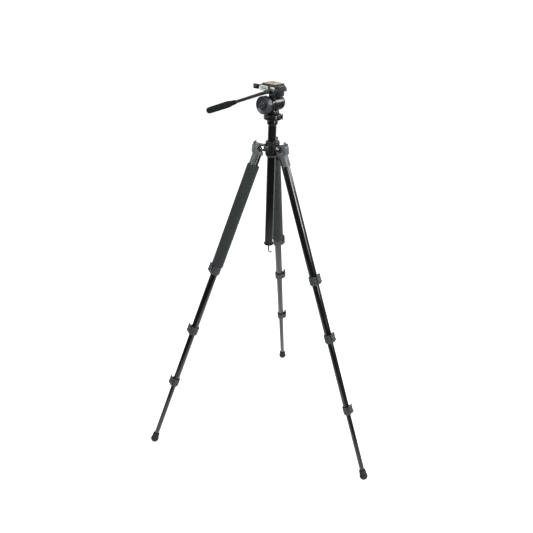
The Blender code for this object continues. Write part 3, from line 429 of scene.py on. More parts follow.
def edges(tree, width_mm):
    """1 on worn convex edges and 0 on flats: how far a rounded normal leans from the true one."""
    soft = add(tree, "ShaderNodeBevel", {"Radius": width_mm * MM}, samples=4)
    hard = add(tree, "ShaderNodeNewGeometry")
    dot = add(tree, "ShaderNodeVectorMath", {0: soft.outputs[0], 1: hard.outputs["Normal"]}, operation="DOT_PRODUCT")
    return ramp(tree, dot.outputs["Value"], 0.995, 0.90, 0.0, 1.0)


def place(tree):
    """Object coordinates, in metres."""
    return add(tree, "ShaderNodeTexCoord").outputs["Object"]


def dress(tree, shader, colour=None, roughness=None, normal=None):
    """Feeds the shader from the sockets that are given."""
    for name, source in (("Base Color", colour), ("Roughness", roughness), ("Normal", normal)):
        if source is not None:
            tree.links.new(source, shader.inputs[name])


# ------------------------------------------------------------------ materials
# Draw lines, mould grain, hairlines, the brushed lay and foam pores are finer in life. They are drawn 0.5 to 1.3 mm
# wide, as coarse as they need to be to show.

def anodised_tube():
    """Drawn aluminium tube, black anodised and sealed: the oxide's clear gloss, with faint draw lines along it."""
    made, tree, shader = start("anodised_aluminium_drawn", "#131312", 0.2, IOR=1.7)
    uv = add(tree, "ShaderNodeUVMap", uv_map="surface").outputs[0]
    lines = noise(tree, uv, 0.7, 2.0, (1, 0.01, 1))
    haze = noise(tree, uv, 18.0, 3.0, (1, 0.25, 1))
    rough = maths(tree, "ADD", spread(tree, lines, 0.1, 0.17), ramp(tree, haze, 0.35, 0.7, 0.0, 0.05))
    dress(tree, shader, mottle(tree, haze, "#111110", "#171716"), rough, bump(tree, lines, 0.01, 0.5))
    return made


def skin(name, colour, roughness, worn, wear_mm, grain, rough, relief, cloud=None, metallic=0.0):
    """Painted or moulded skin: a fine grain sets its roughness and relief, and rubbed edges show the worn colour.

    grain is (size in mm, detail), rough the two ends of the roughness and relief (depth in mm, strength). cloud
    is (size in mm, detail, how much of the second colour, first colour, second colour) and shades the flats.
    """
    made, tree, shader = start(name, colour, roughness, metallic)
    where = place(tree)
    fine = noise(tree, where, *grain)
    base = colour
    if cloud:
        size_mm, detail, most, first, second = cloud
        base = mottle(tree, noise(tree, where, size_mm, detail), first, second, most)
    dress(tree, shader, blend(tree, edges(tree, wear_mm), base, worn), spread(tree, fine, *rough),
          bump(tree, fine, *relief))
    return made


def moulded_nylon(name, colour, pale):
    """Glass-filled nylon, spark-eroded mould finish: a dry fine grain, paler on rubbed edges."""
    return skin(name, colour, 0.5, pale, 0.6, (0.6, 4.0), (0.42, 0.6), (0.06, 0.7), (9.0, 2.0, 0.35, colour, pale))


def nitrile_foam():
    """Closed-cell nitrile foam, ground to size: open pores 1.3 mm wide in a dull green-black."""
    dull = {"Sheen Weight": 0.1, "Sheen Roughness": 0.6, "Specular IOR Level": 0.2}
    made, tree, shader = start("nitrile_foam_ground", "#2f3635", 0.92, **dull)
    where = place(tree)
    walls = cells(tree, where, 1.3, feature="DISTANCE_TO_EDGE")
    pores = ramp(tree, walls.outputs["Distance"], 0.0, 0.25, 0.0, 1.0)
    patches = noise(tree, where, 5.0, 4.0)
    base = mottle(tree, patches, "#2c3332", "#3b4342")
    dress(tree, shader, blend(tree, pores, "#1d2222", base),
          normal=bump(tree, patches, 0.25, 0.5, bump(tree, pores, 0.15, 0.8)))
    return made


def moulded_rubber(name, colour, pale, shine):
    """Moulded rubber with a matt bloom, dusty in the grain."""
    made, tree, shader = start(name, colour, 0.7, **{"Specular IOR Level": shine})
    where = place(tree)
    grain = noise(tree, where, 0.8, 4.0)
    dust = ramp(tree, noise(tree, where, 12.0, 3.0), 0.4, 0.75, 0, 0.6)
    dress(tree, shader, blend(tree, dust, colour, pale), spread(tree, grain, 0.6, 0.82), bump(tree, grain, 0.08, 0.7))
    return made


def textured_moulding():
    """ABS with a leather-like mould texture, 1.5 mm cells, for the front cheek."""
    made, tree, shader = start("abs_textured_mould", "#3a3e40", 0.6)
    where = place(tree)
    hide = cells(tree, where, 1.5)
    base = mottle(tree, noise(tree, where, 3.0, 3.0), "#34383a", "#43484a")
    dress(tree, shader, base, normal=bump(tree, hide.outputs["Distance"], 0.12, 0.7))
    return made


def bright_metal(name, colour, roughness, mark_mm, stretch, rough, relief=None):
    """Bare or plated metal whose fine marks run along one axis and spread its reflections."""
    made, tree, shader = start(name, colour, roughness, 1.0)
    marks = noise(tree, place(tree), mark_mm, 2.0, stretch)
    normal = bump(tree, marks, *relief) if relief else None
    dress(tree, shader, roughness=spread(tree, marks, *rough), normal=normal)
    return made


def pressed_cork():
    """Agglomerated cork sheet: 2.2 mm granules in tans, with dark specks between them."""
    made, tree, shader = start("cork_pressed_sheet", "#bfb096", 0.88)
    where = place(tree)
    grains = cells(tree, where, 2.2)
    tone = add(tree, "ShaderNodeSeparateColor", {0: grains.outputs["Color"]}).outputs[0]
    specks = ramp(tree, noise(tree, where, 1.4, 3.0), 0.62, 0.7, 0, 0.8)
    dress(tree, shader, blend(tree, specks, blend(tree, tone, "#aa9a7c", "#cfc2ab"), "#7b6546"),
          normal=bump(tree, grains.outputs["Distance"], 0.2, 0.6))
    return made


def smooth_plastic(name, colour, roughness, cloud_mm, detail, first, second, **sockets):
    """Polished plastic whose colour drifts a little between two tones."""
    made, tree, shader = start(name, colour, roughness, **sockets)
    dress(tree, shader, mottle(tree, noise(tree, place(tree), cloud_mm, detail), first, second))
    return made


def bubble_painted_highlight():
    """The air bubble under the vial's wall: a pale yellow-green highlight."""
    made, tree, shader = start("vial_bubble_painted_highlight", "#cfe8b8", 0.05)
    dress(tree, shader, blend(tree, noise(tree, place(tree), 2.0, 1.0), "#c2e0a8", "#e2f2d2"))
    return made


TUBE = anodised_tube()
# Die-cast aluminium under satin grey paint: fine orange peel, paler where the edges rub.
CAST = skin("painted_die_casting", "#5b6062", 0.42, "#8b9092", 0.7, (1.1, 2.0), (0.36, 0.5), (0.05, 0.6),
            (14.0, 3.0, 1, "#54595b", "#63686a"), 0.35)
# Die-cast aluminium under satin black paint, with the same fine peel.
BLACK_CAST = skin("painted_die_casting_black", "#1a1b1c", 0.36, "#3a3c3d", 0.5, (1.0, 2.0), (0.3, 0.44), (0.04, 0.6))
LOCK = moulded_nylon("nylon_moulded_lock", "#313737", "#545b5b")
LEVER = moulded_nylon("nylon_moulded_lever", "#3c3e43", "#62656a")
FOAM = nitrile_foam()
RUBBER = moulded_rubber("rubber_moulded_foot", "#26272b", "#3f4145", 0.3)
GRIP = moulded_rubber("rubber_moulded_grip", "#1b2022", "#272d2f", 0.16)
# Head castings in black semi-gloss enamel over a smooth casting: soft broad reflections.
ENAMEL = skin("black_enamel_sprayed", "#161718", 0.22, "#2c2e30", 0.5, (2.2, 2.0), (0.18, 0.27), (0.04, 0.5))
CHEEK = textured_moulding()
# ABS drum moulded from a turned tool: a satin blue-black.
DRUM = skin("abs_moulded_satin", "#2b2d33", 0.3, "#565a62", 0.6, (0.7, 3.0), (0.17, 0.27), (0.04, 0.6),
            (16.0, 2.0, 1, "#282a30", "#31343a"))
# Steel, nickel-chrome plated and bright, with hairline marks.
PLATED = bright_metal("nickel_plated_steel", "#cfcfcb", 0.18, 0.5, (1, 8, 1), (0.12, 0.26))
# Cast aluminium milled flat and left bare, with a fine brushed lay.
MILLED = bright_metal("aluminium_milled", "#d2d6d8", 0.34, 0.6, (0.05, 1, 1), (0.28, 0.45), (0.02, 0.5))
CORK = pressed_cork()
# White ABS bezel of the level, polished.
BEZEL = smooth_plastic("abs_white_polished", "#d8dfdb", 0.3, 8.0, 2.0, "#d0d8d3", "#e2e7e4")
# Acrylic vial of green spirit: bright, clear gloss over a deep green.
FLUID = smooth_plastic("acrylic_vial_green", "#5fae4e", 0.08, 4.0, 1.0, "#63a555", "#8cc47a",
                       IOR=1.49, **{"Coat Weight": 0.6})
# The bubble's shape is the air bubble; its pale yellow-green colour is a painted highlight.
BUBBLE_PAINTED_HIGHLIGHT = bubble_painted_highlight()


# ------------------------------------------------------------------ meshes

def link(name, data):
    """Object that shows the data, in the scene."""
    obj = bpy.data.objects.new(name, data)
    bpy.context.scene.collection.objects.link(obj)
    return obj


def weld(mesh, distance):
    """Joins points closer than the distance, in metres, and turns the faces outwards."""
    bm = bmesh.new()
    bm.from_mesh(mesh)
    bmesh.ops.remove_doubles(bm, verts=bm.verts, dist=distance)
    bmesh.ops.recalc_face_normals(bm, faces=bm.faces)
    bm.to_mesh(mesh)
    bm.free()


def made_of(finish, *shapes):
    """Parts for piece(): every shape with one material."""
    return [(shape, finish) for shape in shapes]


def piece(name, parts, body, node, at):
    """One object from (shape, material) parts carried by a matrix, standing for a CAD node and riding on a body."""
    points, faces, uvs, marks, offset = [], [], [], [], 0
    materials = []
    for shape, finish in parts:
        if finish not in materials:
            materials.append(finish)
        points.append(shape.at(at).points)
        faces += (shape.quads + offset).tolist()
        faces += [[i + offset for i in polygon] for polygon in shape.polygons]
        uvs.append(shape.uv.reshape(-1, 2))
        uvs += [shape.points[polygon][:, :2] for polygon in shape.polygons]
        marks += [materials.index(finish)] * (len(shape.quads) + len(shape.polygons))
        offset += len(shape.points)
    mesh = bpy.data.meshes.new(name)
    mesh.from_pydata((np.concatenate(points) * MM).tolist(), [], faces)
    mesh.polygons.foreach_set("material_index", marks)
    layer = mesh.uv_layers.new(name="surface")
    layer.data.foreach_set("uv", (np.concatenate(uvs) * MM).ravel())
    for finish in materials:
        mesh.materials.append(finish)
    weld(mesh, 0.002 * MM)
    mesh.shade_smooth()
    mesh.set_sharp_from_angle(angle=math.radians(SHARP_DEG))
    obj = link(name, mesh)
    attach(obj, body)
    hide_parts(node)
    return obj


# ------------------------------------------------------------------ hub and column

def turned_ring(profile, edge, count):
    """Ring turned from a closed profile whose corners are rounded by edge."""
    return turned(rounded(profile, edge, 3, closed=True), count, ring=True)


def ring_tube(outer, inner, low, high, count=64, edge=0.4):
    """Open tube with small rounds on its four rims."""
    return turned_ring([(outer, low), (outer, high), (inner, high), (inner, low)], edge, count)


def lift(height, *profile):
    """Profile points (radius, height) moved up."""
    return [(radius, height + z) for radius, z in profile]


def widen(radius, *profile):
    """Profile points (radius, height) moved out."""
    return [(radius + r, z) for r, z in profile]


def disc(profile, radii, count, wave=None):
    """Solid turned from a profile that starts and ends on the axis, its corners rounded by radii."""
    return turned(rounded(profile, radii, 3), count, wave=wave)


def pin(radius, low, high, edge, count):
    """Plain round bar between two heights."""
    return disc([(0, low), (radius, low), (radius, high), (0, high)], edge, count)


def pair(outline, near, far, bevel):
    """Two upright slabs, one on each side of the plane Y = 0, between two distances from it."""
    return [slab(outline, low, high, bevel, "xz") for low, high in ((-far, -near), (near, far))]


def slotted_head(radius, height):
    """Screw head along +Z: a low dome, and a dark slot cut as a narrow trough of the grid across it.

    The dome's height is height * (1 - 0.25 * (r / radius)^2); in the slot it falls by slot_depth.
    """
    slot_depth, slot_half, slot_wall, sides = 0.9, 0.9, 0.25, 40
    angle = np.arange(sides) / sides * TAU
    radial = np.array([1.0, 1.0, 0.96, 0.9, 0.78, 0.62, 0.45, 0.3, 0.16, 0.0]) * radius
    top = height * (1 - 0.25 * (radial / radius) ** 2)
    top[0], top[1] = 0.0, height * 0.55
    x = radial[:, None] * np.cos(angle)
    y = radial[:, None] * np.sin(angle)
    trough = np.clip((slot_half - np.abs(y)) / slot_wall, 0, 1) * (radial < 0.9 * radius)[:, None]
    return surface(np.stack([x, y, top[:, None] - slot_depth * trough], -1))


def spider():
    """Hub casting: a bored barrel with two groove lines, and three pairs of hinge ears with raised bosses."""
    profile = [(14.4, HUB_TOP), (14.4, HUB_LOW), (16.2, HUB_LOW), (16.7, 1098.4), (20.2, 1103.8), (HUB_R, 1105.2),
               (HUB_R, 1123.7), (20.1, 1124.2), (20.1, 1125.0), (HUB_R, 1125.5), (HUB_R, 1140.8), (19.9, 1141.5),
               (19.9, 1142.4), (20.7, 1143.0), (20.7, 1148.4), (20.0, 1149.5), (18.8, HUB_TOP)]
    shapes = [turned_ring(profile, 0.4, 72)]
    outline = [(15.5, 1112.0), (20.0, 1118.0), (28.0, 1120.4), *arc((HINGE_R, HINGE_Z), 10.0, -100, 78, 22).tolist(),
               (33.0, 1140.6), (25.0, 1138.4), (15.5, 1138.2)]
    near, thickness, sunk = TONGUE / 2 + 0.4, 6.0, 0.1
    for azimuth in AZIMUTHS.values():
        turn = spin(azimuth, "Z")
        for side, ear in zip((-1, 1), pair(outline, near, near + thickness, 1.3)):
            seat = turn @ shift(HINGE_R, side * (near + thickness - sunk), HINGE_Z) @ spin(-side * 90, "X")
            shapes += [ear.at(turn), ring_tube(9.2, 6.9, 0.0, 0.9, 40, 0.35).at(seat)]
    piece("spider_casting", made_of(BLACK_CAST, *shapes), "base", "spider_hub", COLUMN)


def hinge_bolts():
    """One bolt for each leg: a bright slotted head at both ends of a plain shank."""
    seat = TONGUE / 2 + 6.7
    for side_name, azimuth in AZIMUTHS.items():
        shapes = [pin(3.0, -seat, seat, 0.2, 24).at(lay_y())]
        shapes += [slotted_head(6.5, 3.2).at(shift(0, side * seat) @ spin(-side * 90, "X")) for side in (-1, 1)]
        piece("hinge_screw_" + side_name, made_of(PLATED, *shapes), "base", "hinge_bolt_" + side_name,
              COLUMN @ spin(azimuth, "Z") @ shift(HINGE_R, 0, HINGE_Z))


def column():
    """Centre tube with its swollen top collar."""
    profile = [(5.0, COLUMN_TOP), (17.3, COLUMN_TOP), (18.2, 1220.1), (18.2, 1209.6), (17.7, 1206.8),
               (COLUMN_R, 1202.6), (COLUMN_R, COLUMN_LOW), (COLUMN_BORE, COLUMN_LOW), (COLUMN_BORE, 1214.0),
               (5.0, 1214.0)]
    tube = turned_ring(profile, 0.5, 72)
    piece("column_tube", made_of(TUBE, tube), "column", "center_column", COLUMN)


def hook_line():
    """Centre line of the load hook: a straight shank that runs into an open bend of 127 degrees."""
    bend = COLUMN_LOW - GAP - CAP_H - HOOK_DROP + HOOK_R + BEND_R
    shank = np.stack([np.zeros(8), np.linspace(COLUMN_LOW - CAP_H + 2, bend + 1, 8)], 1)
    path = np.concatenate([shank, arc((BEND_R, bend), BEND_R, 180, 307, 30)])
    return np.stack([path[:, 0], np.zeros(len(path)), path[:, 1]], 1)


def column_foot():
    """End cap with a fluted rim and a plug in the tube, and the enamelled load hook under it."""
    profile = lift(COLUMN_LOW - GAP, (0, -CAP_H), (11.4, -CAP_H), (14.6, -8.2), (17.0, -5.6), (17.0, -1.2),
                   (16.2, -0.1), (12.1, 0), (12.1, 12), (0, 12))
    cap = disc(profile, 0.7, 144, grooves(0.45, 18, 0.55, 16.5))
    piece("column_foot", [(cap, BLACK_CAST), (sweep(hook_line(), HOOK_R), ENAMEL)], "column", "column_end_cap",
          COLUMN)


def clamp_screw():
    """Column clamp screw: a plain shank and a small knurled head with a dimple."""
    profile = [(0, 15.2), (2.5, 15.2), (2.5, 21.1), (4.0, 21.1), (4.5, 21.6), (4.5, 25.0), (4.0, 25.9), (2.4, 26.1),
               (1.8, 25.6), (0, 25.4)]
    screw = disc(profile, 0.25, 96, grooves(0.22, 16, 0.2, 4.2))
    piece("clamp_screw", made_of(LOCK, screw), "column_clamp", "column_clamp_knob",
          COLUMN @ lay_out(CLAMP_AZIMUTH, CLAMP_Z))


# ------------------------------------------------------------------ legs

def casting_shapes():
    """Leg casting: a tongue at the hinge with two rails, a round socket, and a long outer shell down the tube.

    The shell's section lies between two arcs, the outer one 3 degrees longer at each end; the band is the same.
    """
    bore, half = TUBE_R[0] + GAP, TONGUE / 2
    socket = [(0.0, -CASTING_SOCKET), (bore, -CASTING_SOCKET), (bore, -CASTING_OPEN), (17.0, -CASTING_OPEN),
              (17.5, -24.4), (17.5, -20.0), (16.9, -17.0), (14.8, -13.8), (11.0, -12.4), (0.0, -12.4)]

    def half_shell(radius, reach, low, high, bevel):
        inner = arc((0, 0), bore, reach - 3, 3 - reach, 31)
        return slab(np.concatenate([arc((0, 0), radius, -reach, reach, 41), inner]), low, high, bevel)

    shell = half_shell(16.9, 74, -CASTING_END, -CASTING_OPEN + 0.6, 0.7)
    band = half_shell(17.5, 75, -CASTING_END + 1.2, -CASTING_END + 5.0, 0.5)
    outline = [(-9.0, -20.0), (-9.0, 2.0), (-7.6, 4.8), (-5.0, 6.0), (17.0, 6.0), (22.0, 4.8), (24.8, 1.0),
               (24.8, -5.0), (21.6, -16.0), (19.4, -24.8), (8.0, -24.8)]
    tongue = cut(outline, 1.5, -half, half, 1.6, "xz")
    rail = [(2.0, 4.0), (23.0, 4.0), (24.8, 6.0), (24.8, 8.6), (23.2, 10.3), (3.6, 10.3), (2.0, 9.0)]
    rails = pair(rounded(rail, 0.8, 3, closed=True), 7.4, half, 0.7)
    return [disc(socket, 0.5, 64), shell, band, tongue, *rails]


def stop_shapes(splay):
    """Angle stop: a flat bar between the rails, and a narrow finger tab that curls up from its outer end."""
    inner = (HUB_R + GAP + STOP_HIGH * math.sin(splay) - HINGE_R) / math.cos(splay)
    bar = box((inner, 23.0), (-7.1, 7.1), (STOP_LOW, STOP_HIGH), 1.2, 0.7)
    curl_centre = (19.6, 12.9)
    tab = [(15.4, 9.0), (21.3, 9.0), *arc(curl_centre, 3.4, -60, 130, 14).tolist(),
           *arc(curl_centre, 1.3, 130, -40, 10).tolist(), (18.4, 11.0), (15.4, 10.2)]
    return [bar, slab(tab, -4.0, 4.0, 0.5, "xz")]


def lock_shapes(level):
    """Lock body: a banded ring with a bevelled foot, fine flutes on its inner side, a seat inside and the lever's lugs.

    Each lug hugs a 3.9 mm circle round the pin and falls in a straight line to the ring's foot.
    """
    upper, lower = TUBE_R[level], TUBE_R[level + 1]
    ring = upper + LOCK_WALL
    outer = widen(ring, (-3.2, 0), (-2.5, 0.3), (-1.9, 1), (-0.4, 4.2), (0, 5.4), (0, 8.4), (-0.6, 8.8), (-0.6, 9.8),
                  (0, 10.2), (0, 25.4), (-0.7, 25.8), (-0.7, 26.8), (0, 27.2), (0, 29.8), (-0.8, 30.9))
    inner = [(upper + 1.0, LOCK_H), (upper + GAP, LOCK_H - 0.4), (upper + GAP, LOCK_SHOULDER),
             (lower + GAP, LOCK_SHOULDER), (lower + GAP, 0.2)]
    flutes = grooves(0.6, 36, 0.4, ring - 0.3, 10.6, 25.2, 1.0)
    pivot = ring + GAP + LEVER_HUB_R
    lug = np.concatenate([[(upper + 0.9, 15.9), (pivot, 15.9)], arc((pivot, PIVOT_Z), 3.9, 62, -50, 12),
                          [(ring - 0.8, 1.6), (upper + 0.9, 1.6)]])
    return [turned(outer + inner, 180, ring=True, wave=flutes), *pair(lug, 6.35, 8.85, 0.5)]


def lever_shapes(level):
    """Clamp lever about its pin: a round heel between the lugs, a broad body that thins above the ring, and a lip.

    Sections are superellipses stacked along Z: half width, half thickness and offset are tables of height. Below
    the pin the half thickness is the square root of the heel's radius squared less the depth squared.
    """
    heel = 4.3
    z = np.array([-4.25, -4.0, -3.4, -2.4, -1.0, 0.8, 2.6, 4.0, 4.7, 5.3, 6.2, 8.0, 10.5, 12.4, 13.6, 15.0, 18.0, 22.0,
                  24.6, 26.2, 27.1, 27.5])
    half_w = np.interp(z, [4.3, 5.3, 6.2, 24.0, 26.4, 27.5], [5.9, 8.2, 8.9, 8.7, 8.0, 6.6])
    half_t = np.interp(z, [0.0, 12.0, 14.4, 24.0, 26.6, 27.5], [4.1, 4.05, 2.6, 2.5, 2.1, 1.1])
    half_t = np.where(z < 0, np.sqrt(np.clip(heel ** 2 - z ** 2, 0.3, None)), half_t)
    offset = np.interp(z, [0.0, 12.0, 14.4, 27.5], [0.05, 0.05, 1.45, 2.1])
    bow = np.interp(z, [4.0, 7.0], [0.0, 0.42 / (TUBE_R[level] + LOCK_WALL + 0.7)])
    path = np.stack([offset, np.zeros(len(z)), z], 1)
    body = loft(path, (0, -1, 0), half_w, half_t, 4.5, 44, bow=bow)
    shank = disc([(0, -8.9), (1.1, -8.9), (1.35, -8.6), (1.35, 8.6), (1.1, 8.9), (0, 8.9)], 0.2, 20).at(lay_y())
    ribs = [cut(rect((3.2, 4.45), (y - 0.5, y + 0.5)), 0.3, 8.0, 19.0, 0.4, fine=2) for y in (-3.4, 0.0, 3.4)]
    return made_of(LEVER, body) + made_of(PLATED, shank) + made_of(LEVER, *ribs)


def foot_shape(tip):
    """Rubber foot: a ball 0.2 mm slimmer than the CAD ball, a waist of three ribs, and a collar round the last tube."""
    a = np.radians(np.linspace(0, 92, 18))
    profile = np.stack([(FOOT_R - 0.2) * np.sin(a), FOOT_R - FOOT_R * np.cos(a)], 1).tolist()
    for height in (19.0, 23.2, 27.4):
        r = np.interp(height, [16, 23.4, 39], [14.9, 13.0, 12.2])
        profile += [(r - 0.2, height - 1.4), (r - 1.1, height - 0.7), (r - 1.1, height + 0.3), (r - 0.2, height + 1.0)]
    seat = FOOT_H - FOOT_BORE
    profile += [(12.6, 31.0), (12.2, 36.0), (11.8, 38.3), (10.8, FOOT_H), (8.9, FOOT_H), (8.9, seat), (0.0, seat)]
    return turned(profile, 56).at(shift(0, 0, -tip))


def foam_shape(bottom):
    """Foam sleeve: a thick soft tube with rounded ends, very slightly waisted by handling."""
    z = np.linspace(-bottom + 4, -FOAM_TOP - 4, 24)
    t = (z + bottom) / (bottom - FOAM_TOP)
    outer = FOAM_R - 0.25 * np.sin(t * math.pi * 3) ** 2
    lower = arc((FOAM_R - FOAM_ROUND, -bottom + FOAM_ROUND), FOAM_ROUND, -90, 0, 6)
    upper = arc((FOAM_R - FOAM_ROUND, -FOAM_TOP - FOAM_ROUND), FOAM_ROUND, 0, 90, 6)
    bore = TUBE_R[0] + GAP
    loop = np.concatenate([lower, np.stack([outer, z], 1), upper, [(bore, -FOAM_TOP), (bore, -bottom)]])
    return turned(loop, 72, ring=True)


def leg(name):
    """Every piece of one leg, on the bodies that slide and open."""
    at_hinge = leg_frame(name)
    up, origin = at_hinge[:3, 2], at_hinge[:3, 3]
    splay = math.acos(up[2])
    body = "leg_" + name
    node = body + "_"
    bodies = [body] + ["%ssection_%d" % (node, section) for section in (2, 3, 4)]
    piece(body + "_hinge_casting", made_of(CAST, *casting_shapes()), body, node + "casting", at_hinge)
    piece(body + "_angle_stop", made_of(BLACK_CAST, *stop_shapes(splay)), body + "_stop", node + "stop",
          at_hinge)
    ends = []
    for level in range(3):
        number = str(level + 1)
        joint = JOINTS[node + "lever_%s_open" % number]
        pivot = np.array(joint["pos_m"]) / MM
        y = np.array(joint["axis"])
        x = np.cross(y, up)
        bottom = -(pivot - origin) @ up + PIVOT_Z
        ends.append(bottom - LOCK_SHOULDER - GAP)
        piece(node + "lock_ring_" + number, made_of(LOCK, *lock_shapes(level)), bodies[level], node + "lock_" + number,
              basis(x, y, up, origin - bottom * up))
        lever = node + "lever_" + number
        piece(node + "flip_lever_" + number, lever_shapes(level), lever, lever,
              basis(x, y, up, pivot))
    tip = (HINGE_Z - FOOT_R) / math.cos(splay) + FOOT_R
    ends.append(tip - FOOT_H + FOOT_BORE - GAP)
    tops = [CASTING_SOCKET + GAP] + [end - length for end, length in zip(ends[1:], INNER_TUBES)]
    for level, radius in enumerate(TUBE_R):
        number = str(level + 1)
        tube = ring_tube(radius, radius - TUBE_WALL, -ends[level], -tops[level])
        piece(node + "tube_section_" + number, made_of(TUBE, tube), bodies[level], node + "tube_" + number,
              at_hinge)
    piece(body + "_rubber_foot", made_of(RUBBER, foot_shape(tip)), bodies[3], node + "foot", at_hinge)
    if node + "foam" in frame["nodes"]:
        bottom = ends[0] + LOCK_SHOULDER + GAP - LOCK_H - 1.0
        sleeve = piece(body + "_foam_sleeve", made_of(FOAM, foam_shape(bottom)), body, node + "foam",
                       at_hinge)


# ------------------------------------------------------------------ head

def pan_parts():
    """Pan base with a stepped rim and index grooves, its stud, and the fluted pan lock knob.

    Each flute is 0.8 mm times the square of cos(8 * angle), where that cosine is positive.
    """
    profile = lift(PAN_LOW, (0, -11), (4.7, -11), (4.7, 0), (26.6, 0), (28.5, 0.6), (29.3, 2.4), (29.3, 11.2),
                   (28.8, 11.6), (28.8, 12.4), (29.2, 12.8))
    profile += lift(PAN_HIGH, (28.6, -3), (27.2, -1), (25.2, 0), (10.4, 0), (10.4, -10.3), (0, -10.3))
    piece("pan_platform", made_of(ENAMEL, disc(profile, 0.35, 96)), "column", "pan_base", COLUMN)
    knob = lift(29.6, (3.0, 0), (9.3, 0), (10.0, 0.6), (10.0, 2.6), (9.2, 3.5), (7.6, 3.8), (6.8, 3.1), (0, 3.1))
    knob = [(0, 22.3), (3.0, 22.3)] + knob
    scallop = lambda r, z, a: r - 0.8 * np.clip(np.cos(a * 8), 0, 1) ** 2 * (r > 7.5)
    piece("pan_lock_handwheel", made_of(ENAMEL, disc(knob, 0.4, 128, scallop)), "pan_lock", "pan_lock_knob",
          COLUMN @ lay_out(PAN_LOCK_AZIMUTH, PAN_LOCK_Z))


def housing():
    """Pan turret, saddle and horizontal barrel with a domed far end, two parting grooves and the tilt shaft.

    The dome is a quarter ellipse turned about the shaft, and the saddle a superellipse that narrows upwards.
    """
    turret = lift(TURRET_LOW, (0, -10), (10.0, -10), (10.0, 0), (20.0, 0), (21.0, 0.9), (21.0, 5.6), (20.0, 7.0),
                  (0, 7.4))
    a = np.radians(np.linspace(0, 90, 20))
    barrel = np.stack([BARREL_R * np.sin(a), -25.0 - 21.0 * np.cos(a)], 1).tolist()
    barrel += widen(BARREL_R, (0, -20.6), (-0.6, -20.2), (-0.6, -19.4), (0, -19), (0, 8.6), (-0.6, 9), (-0.6, 9.8),
                    (0, 10.2), (0, 12.2), (-0.8, 13))
    barrel += [(9.0, 13.0), (9.0, 30.4), (0, 30.4)]
    saddle_y, sides = 2.0, 56
    c, s = superellipse(np.arange(sides) / sides * TAU, 3.2)
    base_x, base_y = 15.0 * c, 16.0 * s
    grow = lift(TURRET_LOW, (1.16, 5.0), (1.06, 8.0), (1.0, 12.0)) + [(1.0, TILT_Z - 8)]
    saddle = surface(np.stack([np.column_stack([base_x * f, saddle_y + base_y * f, np.full(sides, z)])
                               for f, z in grow]))
    shapes = [disc(turret, 0.4, 72), turned(barrel, 80).at(lay_y(0, TILT_Z)), saddle]
    piece("fluid_housing", made_of(ENAMEL, *shapes), "pan_head", "head_housing", HEAD)


def drum():
    """Tilt drag drum: a fluted grip band, a broad rim, a dished face with rings, and a raised centre cap."""
    profile = [(0, 30.7), (9.4, 30.7)]
    profile += lift(DRUM_BACK, (9.4, 0), (22.4, 0), (23.4, 0.8), (25.4, 3.4), (26.0, 5.0), (28.4, 6.2), (28.5, 7.0),
                    (28.5, 17.0), (28.4, 17.6), (27.9, 18.2), (27.9, 19.0), (28.3, 19.8))
    profile += lift(DRUM_FRONT, (28.2, -1.8), (27.6, -0.5), (26.6, 0), (25.4, -0.2), (18.6, -3.6), (17.7, -3.9),
                    (17.2, -2.9), (15.8, -2.9), (15.4, -4.0), (12.6, -4.0), (12.2, -1.6), (11.4, 0.3), (10.2, 0.9),
                    (7.4, 0.9), (6.9, 0.3), (0, 0.2))
    body = turned(profile, 216, wave=grooves(0.45, 54, 0.0, 28, DRUM_BACK + 6.6, DRUM_BACK + 17.3))
    pointer = cut(rect((-1.2, 1.2), (-4.4, 4.4)), 0.8, DRUM_FRONT, DRUM_FRONT + 0.9, 0.3)
    piece("tilt_drag_drum", made_of(DRUM, body, pointer), "tilt_drag", "drag_knob",
          HEAD @ lay_y(0, TILT_Z))


def cheek_outline(inset=0.0):
    """Arch of the front cheek as (y, z): half a superellipse, of power 2.6 across and 3.4 upwards."""
    low, high = 1312.4, 1330.6
    a = np.radians(np.linspace(0, 180, 33))
    y = (24.6 - inset) * superellipse(a, 2.6)[0]
    z = low + inset + (high - low - 2 * inset) * superellipse(a, 3.4)[1]
    return np.stack([y, z], 1)


def bored(half_x, half_y, hole, low, high, corner, bevel, fine=8):
    """Plate centred on the camera screw, with a round hole: each outline point meets the hole at its own bearing."""
    corners = rect((PLATE_X - half_x, PLATE_X + half_x), (-half_y, half_y))
    outline = rounded(corners, corner, fine, closed=True)
    bearing = np.arctan2(outline[:, 1], outline[:, 0] - PLATE_X)
    inner = np.stack([PLATE_X + hole * np.cos(bearing), hole * np.sin(bearing)], 1)
    return rim(outline, inner, low, high, bevel)


